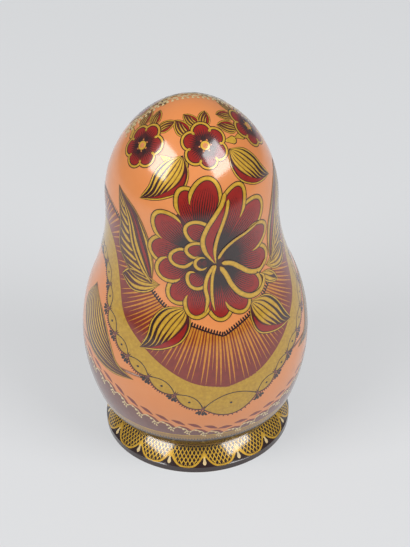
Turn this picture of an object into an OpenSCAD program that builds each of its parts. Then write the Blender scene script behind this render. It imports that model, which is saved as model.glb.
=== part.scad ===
// Set of ten turned limewood nesting dolls. Nine are hollow and part at the belly, where a collar on the
// lower half holds the upper half by friction, and the smallest is solid. Every doll has the outer doll's
// turned profile at a smaller size and stands on the flat floor inside the doll around it.
// The origin is the middle of the base, and the axis of the lathe is Z.

/* [Outer doll] */
// Height of the outer doll
doll_h = 215; // [205:1:225]
// Diameter of the belly at its widest
belly_d = 130; // [126:0.5:134]
// Height of the widest part of the belly
belly_z = 66.5; // [63:0.5:70]
// Radius of the belly curve, from side to side of the profile
belly_curve_r = 103; // [98:0.5:110]
// Diameter of the head
head_d = 96; // [92:0.5:102]
// Radius of the curve at the sides of the head
head_curve_r = 62; // [58:0.5:68]
// Radius of the crown
crown_r = 35; // [30:0.5:40]
// Radius of the hollow curve between head and belly
neck_curve_r = 124; // [100:1:150]
// Height of the seam where the doll opens
seam_z = 74; // [70:0.5:80]

/* [Plinth] */
// Diameter of the rim that the doll stands on
plinth_d = 109; // [104:0.5:112]
// Height of the upright edge of the rim
rim_h = 3.5; // [2:0.1:5]
// Radius of the slightly rounded flare above the rim
flare_curve_r = 60; // [40:1:120]
// Diameter of the waist between plinth and belly
waist_d = 92; // [89:0.5:96]
// Height of the waist
waist_z = 14; // [12:0.1:16]
// Radius of the curve from the waist up into the belly
hip_curve_r = 30; // [27:0.5:34]

/* [Hollowing] */
// Wall of the outer doll, and in proportion that of the dolls inside it
wall = 5.5; // [4.5:0.1:6.5]
// Thinnest wall that the small dolls are turned to
least_wall = 1.8; // [1.4:0.1:2]
// Width of the shoulder that the rim of the outer doll's upper half rests on
shoulder_w = 3; // [2.4:0.1:3.4]
// Thickness of the outer doll's collar
collar_t = 2.6; // [2:0.1:3.2]
// Least width of a shoulder and least thickness of a collar on the small dolls
least_lip = 0.9; // [0.7:0.05:1.1]
// Height of the outer doll's collar
collar_h = 9; // [7:0.5:12]
// Least height of a collar on the small dolls
least_collar_h = 3; // [2.5:0.1:3.5]

/* [Fits] */
// Gap between a collar and its socket, on the radius
collar_gap = 0.1; // [0.05:0.01:0.2]
// Free space above a collar at the end of its socket
socket_gap = 0.5; // [0.3:0.05:1]
// Least gap around each doll inside the doll around it
nest_gap = 0.5; // [0.3:0.05:0.8]
// Coat of lacquer under each base, between its wood and the floor that it stands on
coat_t = 0.05; // [0.02:0.01:0.1]

/* [Set] */
// Number of dolls in the set, the solid one included
doll_count = 10; // [3:1:10]
// Size of each doll as a share of the one around it, where that much fits
nest_share = 0.815; // [0.78:0.005:0.83]

/* [Hidden] */
$fn = 96;
paint_colour = [0.87, 0.58, 0.37];
core_colour = [0.8, 0.52, 0.33];

belly_r = belly_d / 2;
head_r = head_d / 2;
plinth_r = plinth_d / 2;
waist_r = waist_d / 2;

// Centres of the profile's five arcs, each tangent to the next: crown, head, neck, belly and hip
crown_c = [0, doll_h - crown_r];
head_x = head_r - head_curve_r;
head_c = [head_x, crown_c[1] - sqrt(pow(head_curve_r - crown_r, 2) - pow(head_x, 2))];
// The belly's curve is at least flat enough to come down to the waist
waist_in = [belly_r - waist_r, belly_z - waist_z];
belly_fit_r = max(belly_curve_r, waist_in * waist_in / (2 * waist_in[0]));
belly_c = [belly_r - belly_fit_r, belly_z];
neck_c = crossing(head_c, head_curve_r + neck_curve_r, belly_c, belly_fit_r + neck_curve_r);
waist_point = [waist_r, waist_z];
hip_c = crossing(belly_c, belly_fit_r - hip_curve_r, waist_point, hip_curve_r);
rim_point = [plinth_r, rim_h];
flare_c = crossing(rim_point, flare_curve_r, waist_point, flare_curve_r);

// Radius of the outside at the seam, and the widest radius of a doll
seam_r = belly_c[0] + sqrt(pow(belly_fit_r, 2) - pow(seam_z - belly_c[1], 2));
widest_r = max(belly_r, plinth_r);

// Angles at which one arc goes over into the next, seen from the centre of the lower or larger arc
crown_a = angle(crown_c - head_c);
head_a = angle(neck_c - head_c);
neck_a = angle(neck_c - belly_c);
hip_a = angle(hip_c - belly_c);
fit_steps = 12;
fit_points = concat(
    arc_points(belly_c, belly_fit_r, hip_a, neck_a),
    arc_points(head_c, head_curve_r, head_a, crown_a),
    arc_points(crown_c, crown_r, crown_a, angle([0, 1]))
);
halving_steps = 24;

// Place where two circles cross, on the left of the way from the first centre to the second
function crossing(a, ra, b, rb) =
    let (
        span = norm(b - a),
        along = (ra * ra - rb * rb + span * span) / (2 * span),
        aside = sqrt(max(ra * ra - along * along, 0)),
        way = (b - a) / span
    )
    a + along * way + aside * [-way[1], way[0]];

// Angle of a direction
function angle(way) = atan2(way[1], way[0]);

// Points along an arc
function arc_points(centre, r, from, to) =
    [for (i = [0 : fit_steps]) let (a = from + (to - from) * i / fit_steps) centre + r * [cos(a), sin(a)]];

// Point on a circle in the direction of another point
function towards(centre, r, other) = centre + r * (other - centre) / norm(other - centre);

// Sizes of the doll that is s times as large as the outer one
function wall_of(s) = max(wall * s, least_wall);
function shoulder_of(s) = max(shoulder_w * s, least_lip);
function collar_t_of(s) = max(collar_t * s, least_lip);
function collar_h_of(s) = max(collar_h * s, least_collar_h);
function collar_r_of(s) = seam_r * s - shoulder_of(s);
function mouth_r_of(s) = collar_r_of(s) - collar_t_of(s);
function clear_of(s) = (wall_of(s) + nest_gap) / s;

// Depth of a point under the outside of the outer doll, square to the arc above it
function depth(p) =
    angle(p - crown_c) > crown_a ? crown_r - norm(p - crown_c)
    : angle(p - head_c) > head_a ? head_curve_r - norm(p - head_c)
    : angle(p - belly_c) > neck_a ? norm(p - neck_c) - neck_curve_r
    : belly_fit_r - norm(p - belly_c);

// Height at which the lower wall, drawn in by inset, is x from the axis
function wall_z(x, inset) =
    x > towards(belly_c, belly_fit_r - inset, hip_c)[0]
        ? belly_c[1] - sqrt(pow(belly_fit_r - inset, 2) - pow(x - belly_c[0], 2))
        : hip_c[1] - sqrt(pow(hip_curve_r - inset, 2) - pow(max(x - hip_c[0], 0), 2));

// Height of the floor in doll s, at the outer doll's size, that carries a doll of share k with room round its rim
function floor_of(k, s) = wall_z(plinth_r * k, clear_of(s));

// Whether a doll of share k stands on the floor of doll s, passes its mouth and clears its wall all over
function fits(k, s) =
    let (floor = floor_of(k, s))
    floor == floor
        && widest_r * k * s <= mouth_r_of(s) - nest_gap
        && min([for (p = fit_points) depth(k * p + [0, floor])]) >= clear_of(s);

// Largest share that fits, found by halving the step again and again
function largest_share(s, low, high, rounds) =
    let (middle = (low + high) / 2)
    rounds == 0 ? low
    : fits(middle, s) ? largest_share(s, middle, high, rounds - 1)
    : largest_share(s, low, middle, rounds - 1);
function share_in(s) = fits(nest_share, s) ? nest_share : largest_share(s, 0, nest_share, halving_steps);

// Scale, base height and floor height of each doll, counted from the outer one
function dolls_from(i, s, base) =
    i == doll_count ? []
    : let (k = share_in(s), floor = floor_of(k, s) * s)
        concat([[s, base, floor]], dolls_from(i + 1, s * k, base + floor + coat_t));
dolls = dolls_from(0, 1, 0);
function scale_of(i) = dolls[i][0];
function base_z_of(i) = dolls[i][1];
function floor_z_of(i) = dolls[i][2];
echo(dolls = dolls);

// Names of the pieces, from the outer lower half inwards and out again to the outer upper half
function doll_name(i) = i == 0 ? "outer" : str("doll_", i + 1);
hollow_count = doll_count - 1;
core_name = doll_name(hollow_count);

// Half of the space between two heights, out past every piece
module band(low, high) {
    translate([0, low]) square([widest_r, high - low]);
}

// Part of a disc between two heights
module disc_band(centre, r, low, high) {
    intersection() {
        translate(centre) circle(r);
        band(low, high);
    }
}

// Half profile of the outer doll from the given height to the crown, drawn in by inset all over
module body_profile(low, inset) {
    crown_join = towards(head_c, head_curve_r - inset, crown_c)[1];
    neck_top = towards(head_c, head_curve_r - inset, neck_c)[1];
    belly_top = towards(belly_c, belly_fit_r - inset, neck_c)[1];
    hip_top = towards(belly_c, belly_fit_r - inset, hip_c)[1];
    mid_neck = (neck_top + belly_top) / 2;
    disc_band(crown_c, crown_r - inset, head_c[1], doll_h);
    disc_band(head_c, head_curve_r - inset, mid_neck, crown_join);
    difference() {
        band(belly_top, neck_top);
        translate(neck_c) circle(neck_curve_r + inset);
    }
    disc_band(belly_c, belly_fit_r - inset, max(hip_top, low), mid_neck);
    if (low < hip_top) {
        disc_band(hip_c, hip_curve_r - inset, low, hip_c[1]);
        translate([0, low]) square([hip_c[0], hip_c[1] - low]);
    }
}

// Half profile of the plinth with its upright rim and its slightly rounded flare
module plinth_profile() {
    intersection() {
        translate(flare_c) circle(flare_curve_r);
        square([plinth_r, hip_c[1]]);
    }
}

// Half profile of a whole solid doll
module doll_profile(s) {
    scale(s) {
        body_profile(rim_h, 0);
        plinth_profile();
    }
}

// Half profile of the hollow inside a doll, from its floor up
module hollow_profile(s, floor) {
    scale(s) body_profile(floor / s, wall_of(s) / s);
}

// Half profile of the lower half: belly, plinth and collar, with the flat floor that the next doll stands on
module bottom_profile(s, floor) {
    seam = seam_z * s;
    collar_top = seam + collar_h_of(s);
    difference() {
        union() {
            intersection() {
                doll_profile(s);
                band(0, seam);
            }
            translate([0, belly_z * s]) square([collar_r_of(s), collar_top - belly_z * s]);
        }
        hollow_profile(s, floor);
        translate([0, belly_z * s]) square([mouth_r_of(s), doll_h * s]);
    }
}

// Half profile of the upper half: shoulders and head, with the socket that slips over the collar
module top_profile(s, floor) {
    seam = seam_z * s;
    difference() {
        doll_profile(s);
        band(0, seam);
        hollow_profile(s, floor);
        square([collar_r_of(s) + collar_gap, seam + collar_h_of(s) + socket_gap]);
    }
}

// Lower half of the doll with number i
module doll_bottom(i) {
    color(paint_colour)
        translate([0, 0, base_z_of(i)])
            rotate_extrude() bottom_profile(scale_of(i), floor_z_of(i));
}

// Upper half of the doll with number i
module doll_top(i) {
    color(paint_colour)
        translate([0, 0, base_z_of(i)])
            rotate_extrude() top_profile(scale_of(i), floor_z_of(i));
}

// Solid doll in the middle of the set
module doll_core() {
    color(core_colour)
        translate([0, 0, base_z_of(hollow_count)])
            rotate_extrude() doll_profile(scale_of(hollow_count));
}

for (i = [0 : hollow_count - 1]) {
    doll_bottom(i);
    doll_top(i);
}
doll_core();
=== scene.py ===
"""Set of ten nesting dolls in painted and lacquered limewood, on a pale studio floor."""

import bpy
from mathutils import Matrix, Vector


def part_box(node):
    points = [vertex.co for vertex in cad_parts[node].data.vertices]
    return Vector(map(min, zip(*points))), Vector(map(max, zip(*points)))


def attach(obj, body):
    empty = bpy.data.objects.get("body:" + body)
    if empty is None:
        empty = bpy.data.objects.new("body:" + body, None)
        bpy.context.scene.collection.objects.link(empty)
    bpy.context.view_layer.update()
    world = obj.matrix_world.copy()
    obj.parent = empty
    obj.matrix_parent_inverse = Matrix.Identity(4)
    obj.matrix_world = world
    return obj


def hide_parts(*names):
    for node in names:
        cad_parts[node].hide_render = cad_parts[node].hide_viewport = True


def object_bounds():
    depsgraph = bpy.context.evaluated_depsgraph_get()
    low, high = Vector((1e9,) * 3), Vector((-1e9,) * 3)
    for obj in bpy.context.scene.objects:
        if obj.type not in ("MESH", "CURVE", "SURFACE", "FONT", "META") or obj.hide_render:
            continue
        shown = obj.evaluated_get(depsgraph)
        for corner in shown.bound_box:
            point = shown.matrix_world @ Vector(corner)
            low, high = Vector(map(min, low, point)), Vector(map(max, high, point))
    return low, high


bl_info = {
    "name": "Painted nesting dolls",
    "version": (1, 0, 0),
    "blender": (4, 5, 0),
    "location": "3D View > Sidebar > Nesting Dolls",
    "description": "Turns a set of nesting dolls and paints them with flowers and lace under lacquer",
    "category": "Object",
}

import bpy
import numpy as np
from mathutils import Euler

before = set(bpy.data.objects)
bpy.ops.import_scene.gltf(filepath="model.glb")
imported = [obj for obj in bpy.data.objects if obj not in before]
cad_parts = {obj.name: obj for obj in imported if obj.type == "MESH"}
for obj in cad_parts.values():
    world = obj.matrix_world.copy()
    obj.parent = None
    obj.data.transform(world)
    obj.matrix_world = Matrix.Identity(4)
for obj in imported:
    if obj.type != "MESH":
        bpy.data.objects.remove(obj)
cad_low, cad_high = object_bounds()

MM = 0.001
DOLLS = ("outer",) + tuple(f"doll_{number}" for number in range(2, 11))
CORE = DOLLS[-1]

# The painting is laid out flat on the back of the outer doll, in millimetres. Its x runs round the doll
# from the middle of the back, and its y runs along the turned profile from this length above the foot.
CHART_ZERO = 140.5
# Azimuths are measured from the camera's side of the doll, anticlockwise from above.
BACK = np.radians(15.0)
FRONT = BACK + np.pi
# Girth on which the bands round the belly and round the plinth are laid out
BELT_R = 63.0
PLINTH_R = 50.0
# Coat of lacquer under each doll's base
COAT = 0.05
# The wood lies this far under the finished surface, and the paint builds up in the film between
FILM = 0.5
INNER_FILM = 1.2
# Length of a cell of paint on the outer doll and on the dolls inside, and rows that stay in any case
CELL = 0.9
INNER_CELL = 2.9
LEAST_ROWS = 7
INNER_LEAST_ROWS = 5
# Share of the fine strokes that a doll inside carries: at no size, more at full size, and its least and most
FINE_BASE = 0.25
FINE_GAIN = 0.5
FINE_RANGE = (0.35, 0.7)
# Full turn, a length that counts as none, and the least radius and area that a chart of the doll works with
TURN = 2.0 * np.pi
TINY = 1e-6
AXIS_R = 1.0
LEAST_AREA = 1e-5
# The charts of the head reach this far below the head's middle
HEAD_SKIRT = 25.0


# Sizes and colours that a user would change


def length(name, description, default):
    """Property for a length, written in millimetres and kept in metres."""
    return bpy.props.FloatProperty(name=name, description=description, default=default * MM, unit="LENGTH")


def tint(name, description, default):
    """Property for a colour, written as it looks on a screen."""
    return bpy.props.FloatVectorProperty(
        name=name, description=description, default=default, size=3, min=0.0, max=1.0, subtype="COLOR_GAMMA"
    )


def slant(name, description, default):
    """Property for an angle, written in degrees and kept in radians."""
    return bpy.props.FloatProperty(
        name=name, description=description, default=np.radians(default), subtype="ANGLE"
    )


def plain(name, description, default, measure="NONE"):
    """Property for a plain number."""
    return bpy.props.FloatProperty(name=name, description=description, default=default, unit=measure)


class TurnedSizes(bpy.types.PropertyGroup):
    """Sizes of the outer doll. The dolls inside it have the same shape at a smaller scale."""

    doll_h: length("Height", "Height of the outer doll", (cad_high[2] - cad_low[2]) / MM)
    belly_d: length("Belly", "Diameter of the belly at its widest", (cad_high[0] - cad_low[0]) / MM)
    belly_z: length("Belly height", "Height of the widest part of the belly", 66.5)
    belly_curve_r: length("Belly curve", "Radius of the belly's curve", 103.0)
    head_d: length("Head", "Diameter of the head", 96.0)
    head_curve_r: length("Head curve", "Radius of the curve at the sides of the head", 62.0)
    crown_r: length("Crown", "Radius of the crown", 35.0)
    neck_curve_r: length("Neck curve", "Radius of the hollow between head and belly", 124.0)
    seam_z: length("Seam", "Height of the seam where the doll opens", 74.0)
    plinth_d: length("Plinth", "Diameter of the rim that the doll stands on", 109.0)
    rim_h: length("Rim", "Height of the upright edge of the rim", 3.5)
    flare_curve_r: length("Flare curve", "Radius of the flare above the rim", 60.0)
    waist_d: length("Waist", "Diameter of the waist above the plinth", 92.0)
    waist_z: length("Waist height", "Height of the waist", 14.0)
    hip_curve_r: length("Hip curve", "Radius of the curve from the waist into the belly", 30.0)
    wall: length("Wall", "Thickness of the outer doll's wall", 5.5)
    least_wall: length("Least wall", "Thinnest wall of the small dolls", 1.8)
    shoulder_w: length("Shoulder", "Width of the shoulder at the outer doll's seam", 3.0)
    collar_t: length("Collar", "Thickness of the outer doll's collar", 2.6)
    least_lip: length("Least lip", "Least shoulder and collar of the small dolls", 0.9)
    collar_h: length("Collar height", "Height of the outer doll's collar", 9.0)
    least_collar_h: length("Least collar height", "Least collar height of the small dolls", 3.0)
    collar_gap: length("Collar gap", "Gap between a collar and its socket", 0.1)
    socket_gap: length("Socket gap", "Free space above a collar in its socket", 0.5)


class PaintColours(bpy.types.PropertyGroup):
    """Colours of the painting, of the bare wood and of the studio floor."""

    salmon: tint("Salmon", "Ground of kerchief and skirt", (0.905, 0.575, 0.34))
    gold: tint("Gold", "Gold paint", (0.89, 0.71, 0.22))
    bronze: tint("Bronze", "Shaded edge of the gold paint", (0.66, 0.48, 0.11))
    mustard: tint("Mustard", "Wide gold band of the shawl", (0.80, 0.63, 0.15))
    crimson: tint("Crimson", "Tips of the petals", (0.61, 0.085, 0.03))
    maroon: tint("Maroon", "Shade of the petals", (0.31, 0.05, 0.05))
    umber: tint("Umber", "Ground of the feathered leaves", (0.37, 0.19, 0.11))
    soot: tint("Soot", "Outlines, veins and plinth", (0.15, 0.045, 0.04))
    ember: tint("Ember", "Ray field next to the comb", (0.55, 0.18, 0.03))
    russet: tint("Russet", "Ray field at its lower edge", (0.53, 0.17, 0.11))
    ray: tint("Ray", "Gold rays", (0.86, 0.56, 0.15))
    plum: tint("Plum", "Band under the hem", (0.48, 0.27, 0.23))
    cream: tint("Cream", "Dots and drops", (0.95, 0.85, 0.62))
    skin: tint("Skin", "Face", (0.95, 0.78, 0.62))
    blush: tint("Blush", "Cheeks", (0.90, 0.50, 0.40))
    hair: tint("Hair", "Hair", (0.30, 0.15, 0.07))
    iris: tint("Iris", "Eyes", (0.25, 0.38, 0.42))
    limewood: tint("Limewood", "Bare wood inside", (0.86, 0.73, 0.53))
    floor: tint("Floor", "Studio floor", (0.85, 0.855, 0.862))


class StudioSettings(bpy.types.PropertyGroup):
    """Camera and lamps of the small studio."""

    aim_z: length("Aim", "Height that the camera looks at", 96.75)
    distance: length("Distance", "Distance of the camera from that height", 1075.0)
    elevation: slant("Elevation", "Angle of the camera above the floor", 36.39)
    roll: slant("Roll", "Turn of the camera about its axis", 1.63)
    lens: plain("Lens", "Focal length in millimetres on a 36 mm frame", 125.1)
    shift_x: plain("Shift X", "Sideways framing of the camera", 0.0200)
    shift_y: plain("Shift Y", "Upward framing of the camera", 0.0132)
    lamp_power: plain("Lamp power", "Power of each soft box in watts", 36.0, "POWER")
    room_light: plain("Room light", "Strength of the even light", 0.22)


def in_mm(settings):
    """Sizes of the outer doll in millimetres, by name."""
    return {name: getattr(settings, name) / MM for name in settings.__annotations__}


def linear(colour):
    """Linear light of a colour as it looks on a screen: the display curve undone."""
    c = np.asarray(colour, float)
    return np.where(c <= 0.04045, c / 12.92, ((c + 0.055) / 1.055) ** 2.4)


def palette_of(colours):
    """Linear colours of the painting, by name."""
    return {name: linear(getattr(colours, name)) for name in colours.__annotations__}


# Turned profile


def across(way):
    """Direction turned a quarter to the left."""
    return np.stack([-way[..., 1], way[..., 0]], axis=-1)


def unit(way):
    """Directions of length one."""
    return way / np.maximum(np.linalg.norm(way, axis=-1, keepdims=True), TINY)


def direction(angle):
    """Direction at an angle from the x axis."""
    return np.stack([np.cos(angle), np.sin(angle)], axis=-1)


def level(x, y):
    """Places with the given x and y, either of which may be one number for all."""
    return np.stack(np.broadcast_arrays(x, y), axis=-1)


def crossing(a, ra, b, rb):
    """Place where two circles cross, on the left of the way from the first centre to the second."""
    span = np.linalg.norm(b - a)
    along = (ra**2 - rb**2 + span**2) / (2.0 * span)
    way = (b - a) / span
    return a + along * way + np.sqrt(ra**2 - along**2) * across(way)


def heading(a, b):
    """Angle of the way from one point to another."""
    return np.arctan2(b[1] - a[1], b[0] - a[0])


def arc_run(centre, radius, start, stop, side=1.0, step=0.05):
    """Points along an arc between two angles, with outward directions; side is -1 on a hollow arc."""
    angle = np.linspace(start, stop, 2 + int(abs(stop - start) * radius / step))
    way = direction(angle)
    return np.hstack([centre + radius * way, side * way])


class Turning:
    """Outside of the outer doll: five tangent arcs over a flared plinth, read by length from the foot up."""

    def __init__(self, z):
        self.sizes = z
        crown = np.array([0.0, z["doll_h"] - z["crown_r"]])
        head_x = z["head_d"] / 2 - z["head_curve_r"]
        head = np.array([head_x, crown[1] - np.sqrt((z["head_curve_r"] - z["crown_r"]) ** 2 - head_x**2)])
        belly = np.array([z["belly_d"] / 2 - z["belly_curve_r"], z["belly_z"]])
        neck = crossing(
            head, z["head_curve_r"] + z["neck_curve_r"], belly, z["belly_curve_r"] + z["neck_curve_r"]
        )
        waist = np.array([z["waist_d"] / 2, z["waist_z"]])
        hip = crossing(belly, z["belly_curve_r"] - z["hip_curve_r"], waist, z["hip_curve_r"])
        rim = np.array([z["plinth_d"] / 2, z["rim_h"]])
        flare = crossing(rim, z["flare_curve_r"], waist, z["flare_curve_r"])
        upright = np.array([[rim[0], 0.0, 1.0, 0.0], [rim[0], rim[1], 1.0, 0.0]])
        arcs = (
            (flare, z["flare_curve_r"], heading(flare, rim), heading(flare, waist)),
            (hip, z["hip_curve_r"], heading(hip, waist), heading(belly, hip)),
            (belly, z["belly_curve_r"], heading(belly, hip), heading(belly, neck)),
            (neck, z["neck_curve_r"], heading(neck, belly) % TURN, heading(neck, head) % TURN, -1.0),
            (head, z["head_curve_r"], heading(head, neck), heading(head, crown)),
            (crown, z["crown_r"], heading(head, crown), np.pi / 2),
        )
        run = np.vstack([upright] + [arc_run(*arc)[1:] for arc in arcs])
        self.r, self.z, self.nr, self.nz = run.T
        self.s = np.r_[0.0, np.cumsum(np.hypot(np.diff(self.r), np.diff(self.z)))]
        self.seam = float(np.interp(z["seam_z"], self.z, self.s))
        self.top = self.s[-1]
        self.head_z = head[1]

    def at(self, s):
        """Radius, height and outward direction at a length along the profile."""
        return tuple(np.interp(s, self.s, values) for values in (self.r, self.z, self.nr, self.nz))

    def inside(self, wall):
        """Radius and height of the hollow, which is the outside moved in by the wall, from the hip up."""
        solid = self.z > self.sizes["waist_z"]
        return (self.r - wall * self.nr)[solid], (self.z - wall * self.nz)[solid]


# Places on the doll


def chart(turning, azimuth):
    """Flat chart: x is the way round at its own height, and y the way up the profile."""

    def place(x, y):
        s = y + CHART_ZERO
        return azimuth + x / np.maximum(turning.at(s)[0], AXIS_R), s

    return place


def belt(radius, azimuth=BACK):
    """Chart for bands all round: x is the angle times one fixed radius."""

    def place(x, y):
        return azimuth + x / radius, y + CHART_ZERO

    return place


def head_lengths(turning):
    """Length along the profile as a function of the angle of rise, seen from the head's middle."""
    head = turning.z >= turning.head_z - HEAD_SKIRT
    rise = np.arctan2(turning.z[head] - turning.head_z, turning.r[head])
    return lambda angle: np.interp(angle, rise, turning.s[head])


def dome(turning, around, y, turned=0.0):
    """Chart for the head: a plane that touches it at one place, carried on along lines from the head's
    middle."""
    length_at = head_lengths(turning)
    r, z, _, _ = turning.at(y + CHART_ZERO)
    tilt = np.arctan2(z - turning.head_z, r)
    reach = np.hypot(r, z - turning.head_z)
    cos_turned, sin_turned = np.cos(turned), np.sin(turned)

    def place(x, up):
        a = x * cos_turned - up * sin_turned
        b = x * sin_turned + up * cos_turned
        outward = reach * np.cos(tilt) - b * np.sin(tilt)
        upward = reach * np.sin(tilt) + b * np.cos(tilt)
        azimuth = BACK + around + np.arctan2(a, outward)
        return azimuth, length_at(np.arctan2(upward, np.hypot(a, outward)))

    return place


def arch(turning, lean, turn):
    """Chart along an arch from ear to ear over the crown, which leans to the front and is turned a little:
    x runs along it and up runs to the front, both as arcs of a ball round the head's middle."""
    length_at = head_lengths(turning)
    reach = turning.z[-1] - turning.head_z

    def place(x, up):
        side = x / reach
        tip = lean + up / (reach * np.cos(side))
        front, height = np.cos(side) * np.sin(tip), np.cos(side) * np.cos(tip)
        azimuth = FRONT + turn + np.arctan2(-np.sin(side), front)
        return azimuth, length_at(np.arctan2(height, np.hypot(np.sin(side), front)))

    return place


def resized(place, scale, rise=0.0):
    """Chart on which everything is scaled and then moved up."""
    return lambda x, y: place(scale * x, scale * y + rise)


# Brush strokes

# Roundness of a stroke's ends, its height over its dark edge, and the share by which gold paint darkens at
# its edges
TAPER_POWER = 0.7
STROKE_RISE = 0.007
GOLD_SHADE = 0.7
# Rows of the two sides of a petal from which its rim is drawn, and points of the rim
RIM_ROWS = 24
RIM_POINTS = 40


def curve_at(points, t, guide=None):
    """Smooth path through points at shares t of its length: cubic stretches with averaged slopes. Where a
    guide is given, the shares are of the guide's length, so that the two paths keep step."""
    p = np.asarray(points, float)
    steps = np.diff(p if guide is None else np.asarray(guide, float), axis=0)
    chord = np.r_[0.0, np.cumsum(np.linalg.norm(steps, axis=1))]
    slope = np.gradient(p, chord, axis=0)
    t = np.asarray(t, float) * chord[-1]
    k = np.clip(np.searchsorted(chord, t, side="right") - 1, 0, len(p) - 2)
    h = (chord[k + 1] - chord[k])[..., None]
    u = (t - chord[k])[..., None] / h
    start = (1 + 2 * u) * (1 - u) ** 2 * p[k] + u * (1 - u) ** 2 * h * slope[k]
    return start + u**2 * (3 - 2 * u) * p[k + 1] + u**2 * (u - 1) * h * slope[k + 1]


def path_length(points):
    """Length of a path along its points."""
    return float(np.linalg.norm(np.diff(np.asarray(points, float), axis=0), axis=1).sum())


def taper(count, head, tail):
    """Width along a stroke: it swells over the head's share, stays full and thins over the tail's share."""
    t = np.linspace(0.0, 1.0, count)
    swell = np.clip(t / max(head, TINY), 0.0, 1.0)
    thin = np.clip((1.0 - t) / max(tail, TINY), 0.0, 1.0)
    return (swell * thin) ** TAPER_POWER


def ribbon(path, width, columns=2):
    """Strip along a path: each point is moved to both sides by half the width there."""
    side = unit(across(np.gradient(path, axis=-2)))
    width = np.broadcast_to(width, path.shape[:-1])
    v = np.linspace(-0.5, 0.5, columns + 1)
    return path[..., :, None, :] + side[..., :, None, :] * (width[..., :, None] * v)[..., None]


def smooth(low, high, value):
    """Soft step from 0 at low to 1 at high."""
    t = np.clip((value - low) / (high - low), 0.0, 1.0)
    return t * t * (3.0 - 2.0 * t)


def cells(rows, columns):
    """Shares from 0 to 1 along a grid and from -1 to 1 across it."""
    return np.linspace(0.0, 1.0, rows)[:, None], np.linspace(-1.0, 1.0, columns)[None, :]


def oval(width, height, count, centre=(0.0, 0.0)):
    """Closed ellipse."""
    return np.asarray(centre) + [width, height] * direction(np.linspace(0.0, TURN, count + 1))


def filled(ring, centre, rows):
    """Area from a centre out to a ring."""
    share = np.linspace(0.0, 1.0, rows)[:, None, None]
    return np.asarray(centre, float) * (1.0 - share) + ring * share


class Petal:
    """Petal from a pointed base to a round tip. Its axis is a parabola, and its half width grows as a power
    of the way along and then closes as a quarter ellipse."""

    def __init__(self, base, tip, half, bend=0.0, widest=0.62, power=0.85):
        self.base = np.asarray(base, float)[..., None, None, :]
        self.tip = np.asarray(tip, float)[..., None, None, :]
        self.half = half
        self.bend = bend
        self.widest = widest
        self.power = power

    def width(self, t):
        """Half width at a share of the way along."""
        grow = np.clip(t / self.widest, 0.0, 1.0) ** self.power
        close = np.clip((t - self.widest) / (1.0 - self.widest), 0.0, 1.0)
        return self.half * np.where(t < self.widest, grow, np.sqrt(1.0 - close**2))

    def point(self, t, v):
        """Places at shares t along the petal and v from -1 to 1 across it."""
        t, v = np.broadcast_arrays(np.asarray(t, float), np.asarray(v, float))
        t, v = t[..., None], v[..., None]
        way = self.tip - self.base
        axis = self.base + way * t + across(way) * (self.bend * 4.0 * t * (1.0 - t))
        slope = way + across(way) * (self.bend * 4.0 * (1.0 - 2.0 * t))
        return axis + unit(across(slope)) * (self.width(t) * v)

    def rows(self, count, start=0.0):
        """Shares along the petal, closer together round its tip."""
        half = count // 2
        turn = np.linspace(0.0, np.pi / 2, half + 1)[1:]
        low = np.linspace(start, self.widest, count - half)
        return np.unique(np.r_[low, self.widest + (1.0 - self.widest) * np.sin(turn)])

    def grid(self, rows, columns):
        """Whole petal as a grid, and the share along it of each row."""
        t = self.rows(rows)
        return self.point(t[:, None], np.linspace(-1.0, 1.0, columns + 1)[None, :]), t

    def rim(self, start, stop):
        """Edge of the petal from its right side at one share, round the tip, to its left side at another."""
        up = self.point(self.rows(RIM_ROWS, start)[None, :], -1.0).reshape(-1, 2)
        down = self.point(self.rows(RIM_ROWS, stop)[None, ::-1], 1.0).reshape(-1, 2)
        return curve_at(np.vstack([up, down[1:]]), np.linspace(0.0, 1.0, RIM_POINTS))


class Leaf:
    """Leaf between a left and a right edge, both given by a few points from base to tip."""

    def __init__(self, left, right):
        self.left = left
        self.right = right

    def point(self, t, v):
        """Places at shares t along the leaf and v across it, from -1 on the left to 1 on the right."""
        t, v = np.broadcast_arrays(np.asarray(t, float), np.asarray(v, float))
        share = (1.0 + v[..., None]) / 2.0
        return curve_at(self.left, t) * (1.0 - share) + curve_at(self.right, t) * share

    def grid(self, rows, columns):
        """Whole leaf as a grid."""
        return self.point(*cells(rows, columns))

    def line(self, v, count):
        """Points from base to tip at one share across the leaf."""
        return self.point(np.linspace(0.0, 1.0, count), v)

    def mirrored(self):
        """The same leaf on the other side of the middle line."""
        return Leaf(*([(-x, y) for x, y in edge] for edge in (self.right, self.left)))

    def turned(self):
        """The same leaf with its left and right swapped."""
        return Leaf(self.right, self.left)

    def pair(self):
        """The leaf and its mirror image, both swept the same way."""
        return self, self.mirrored().turned()


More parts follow.
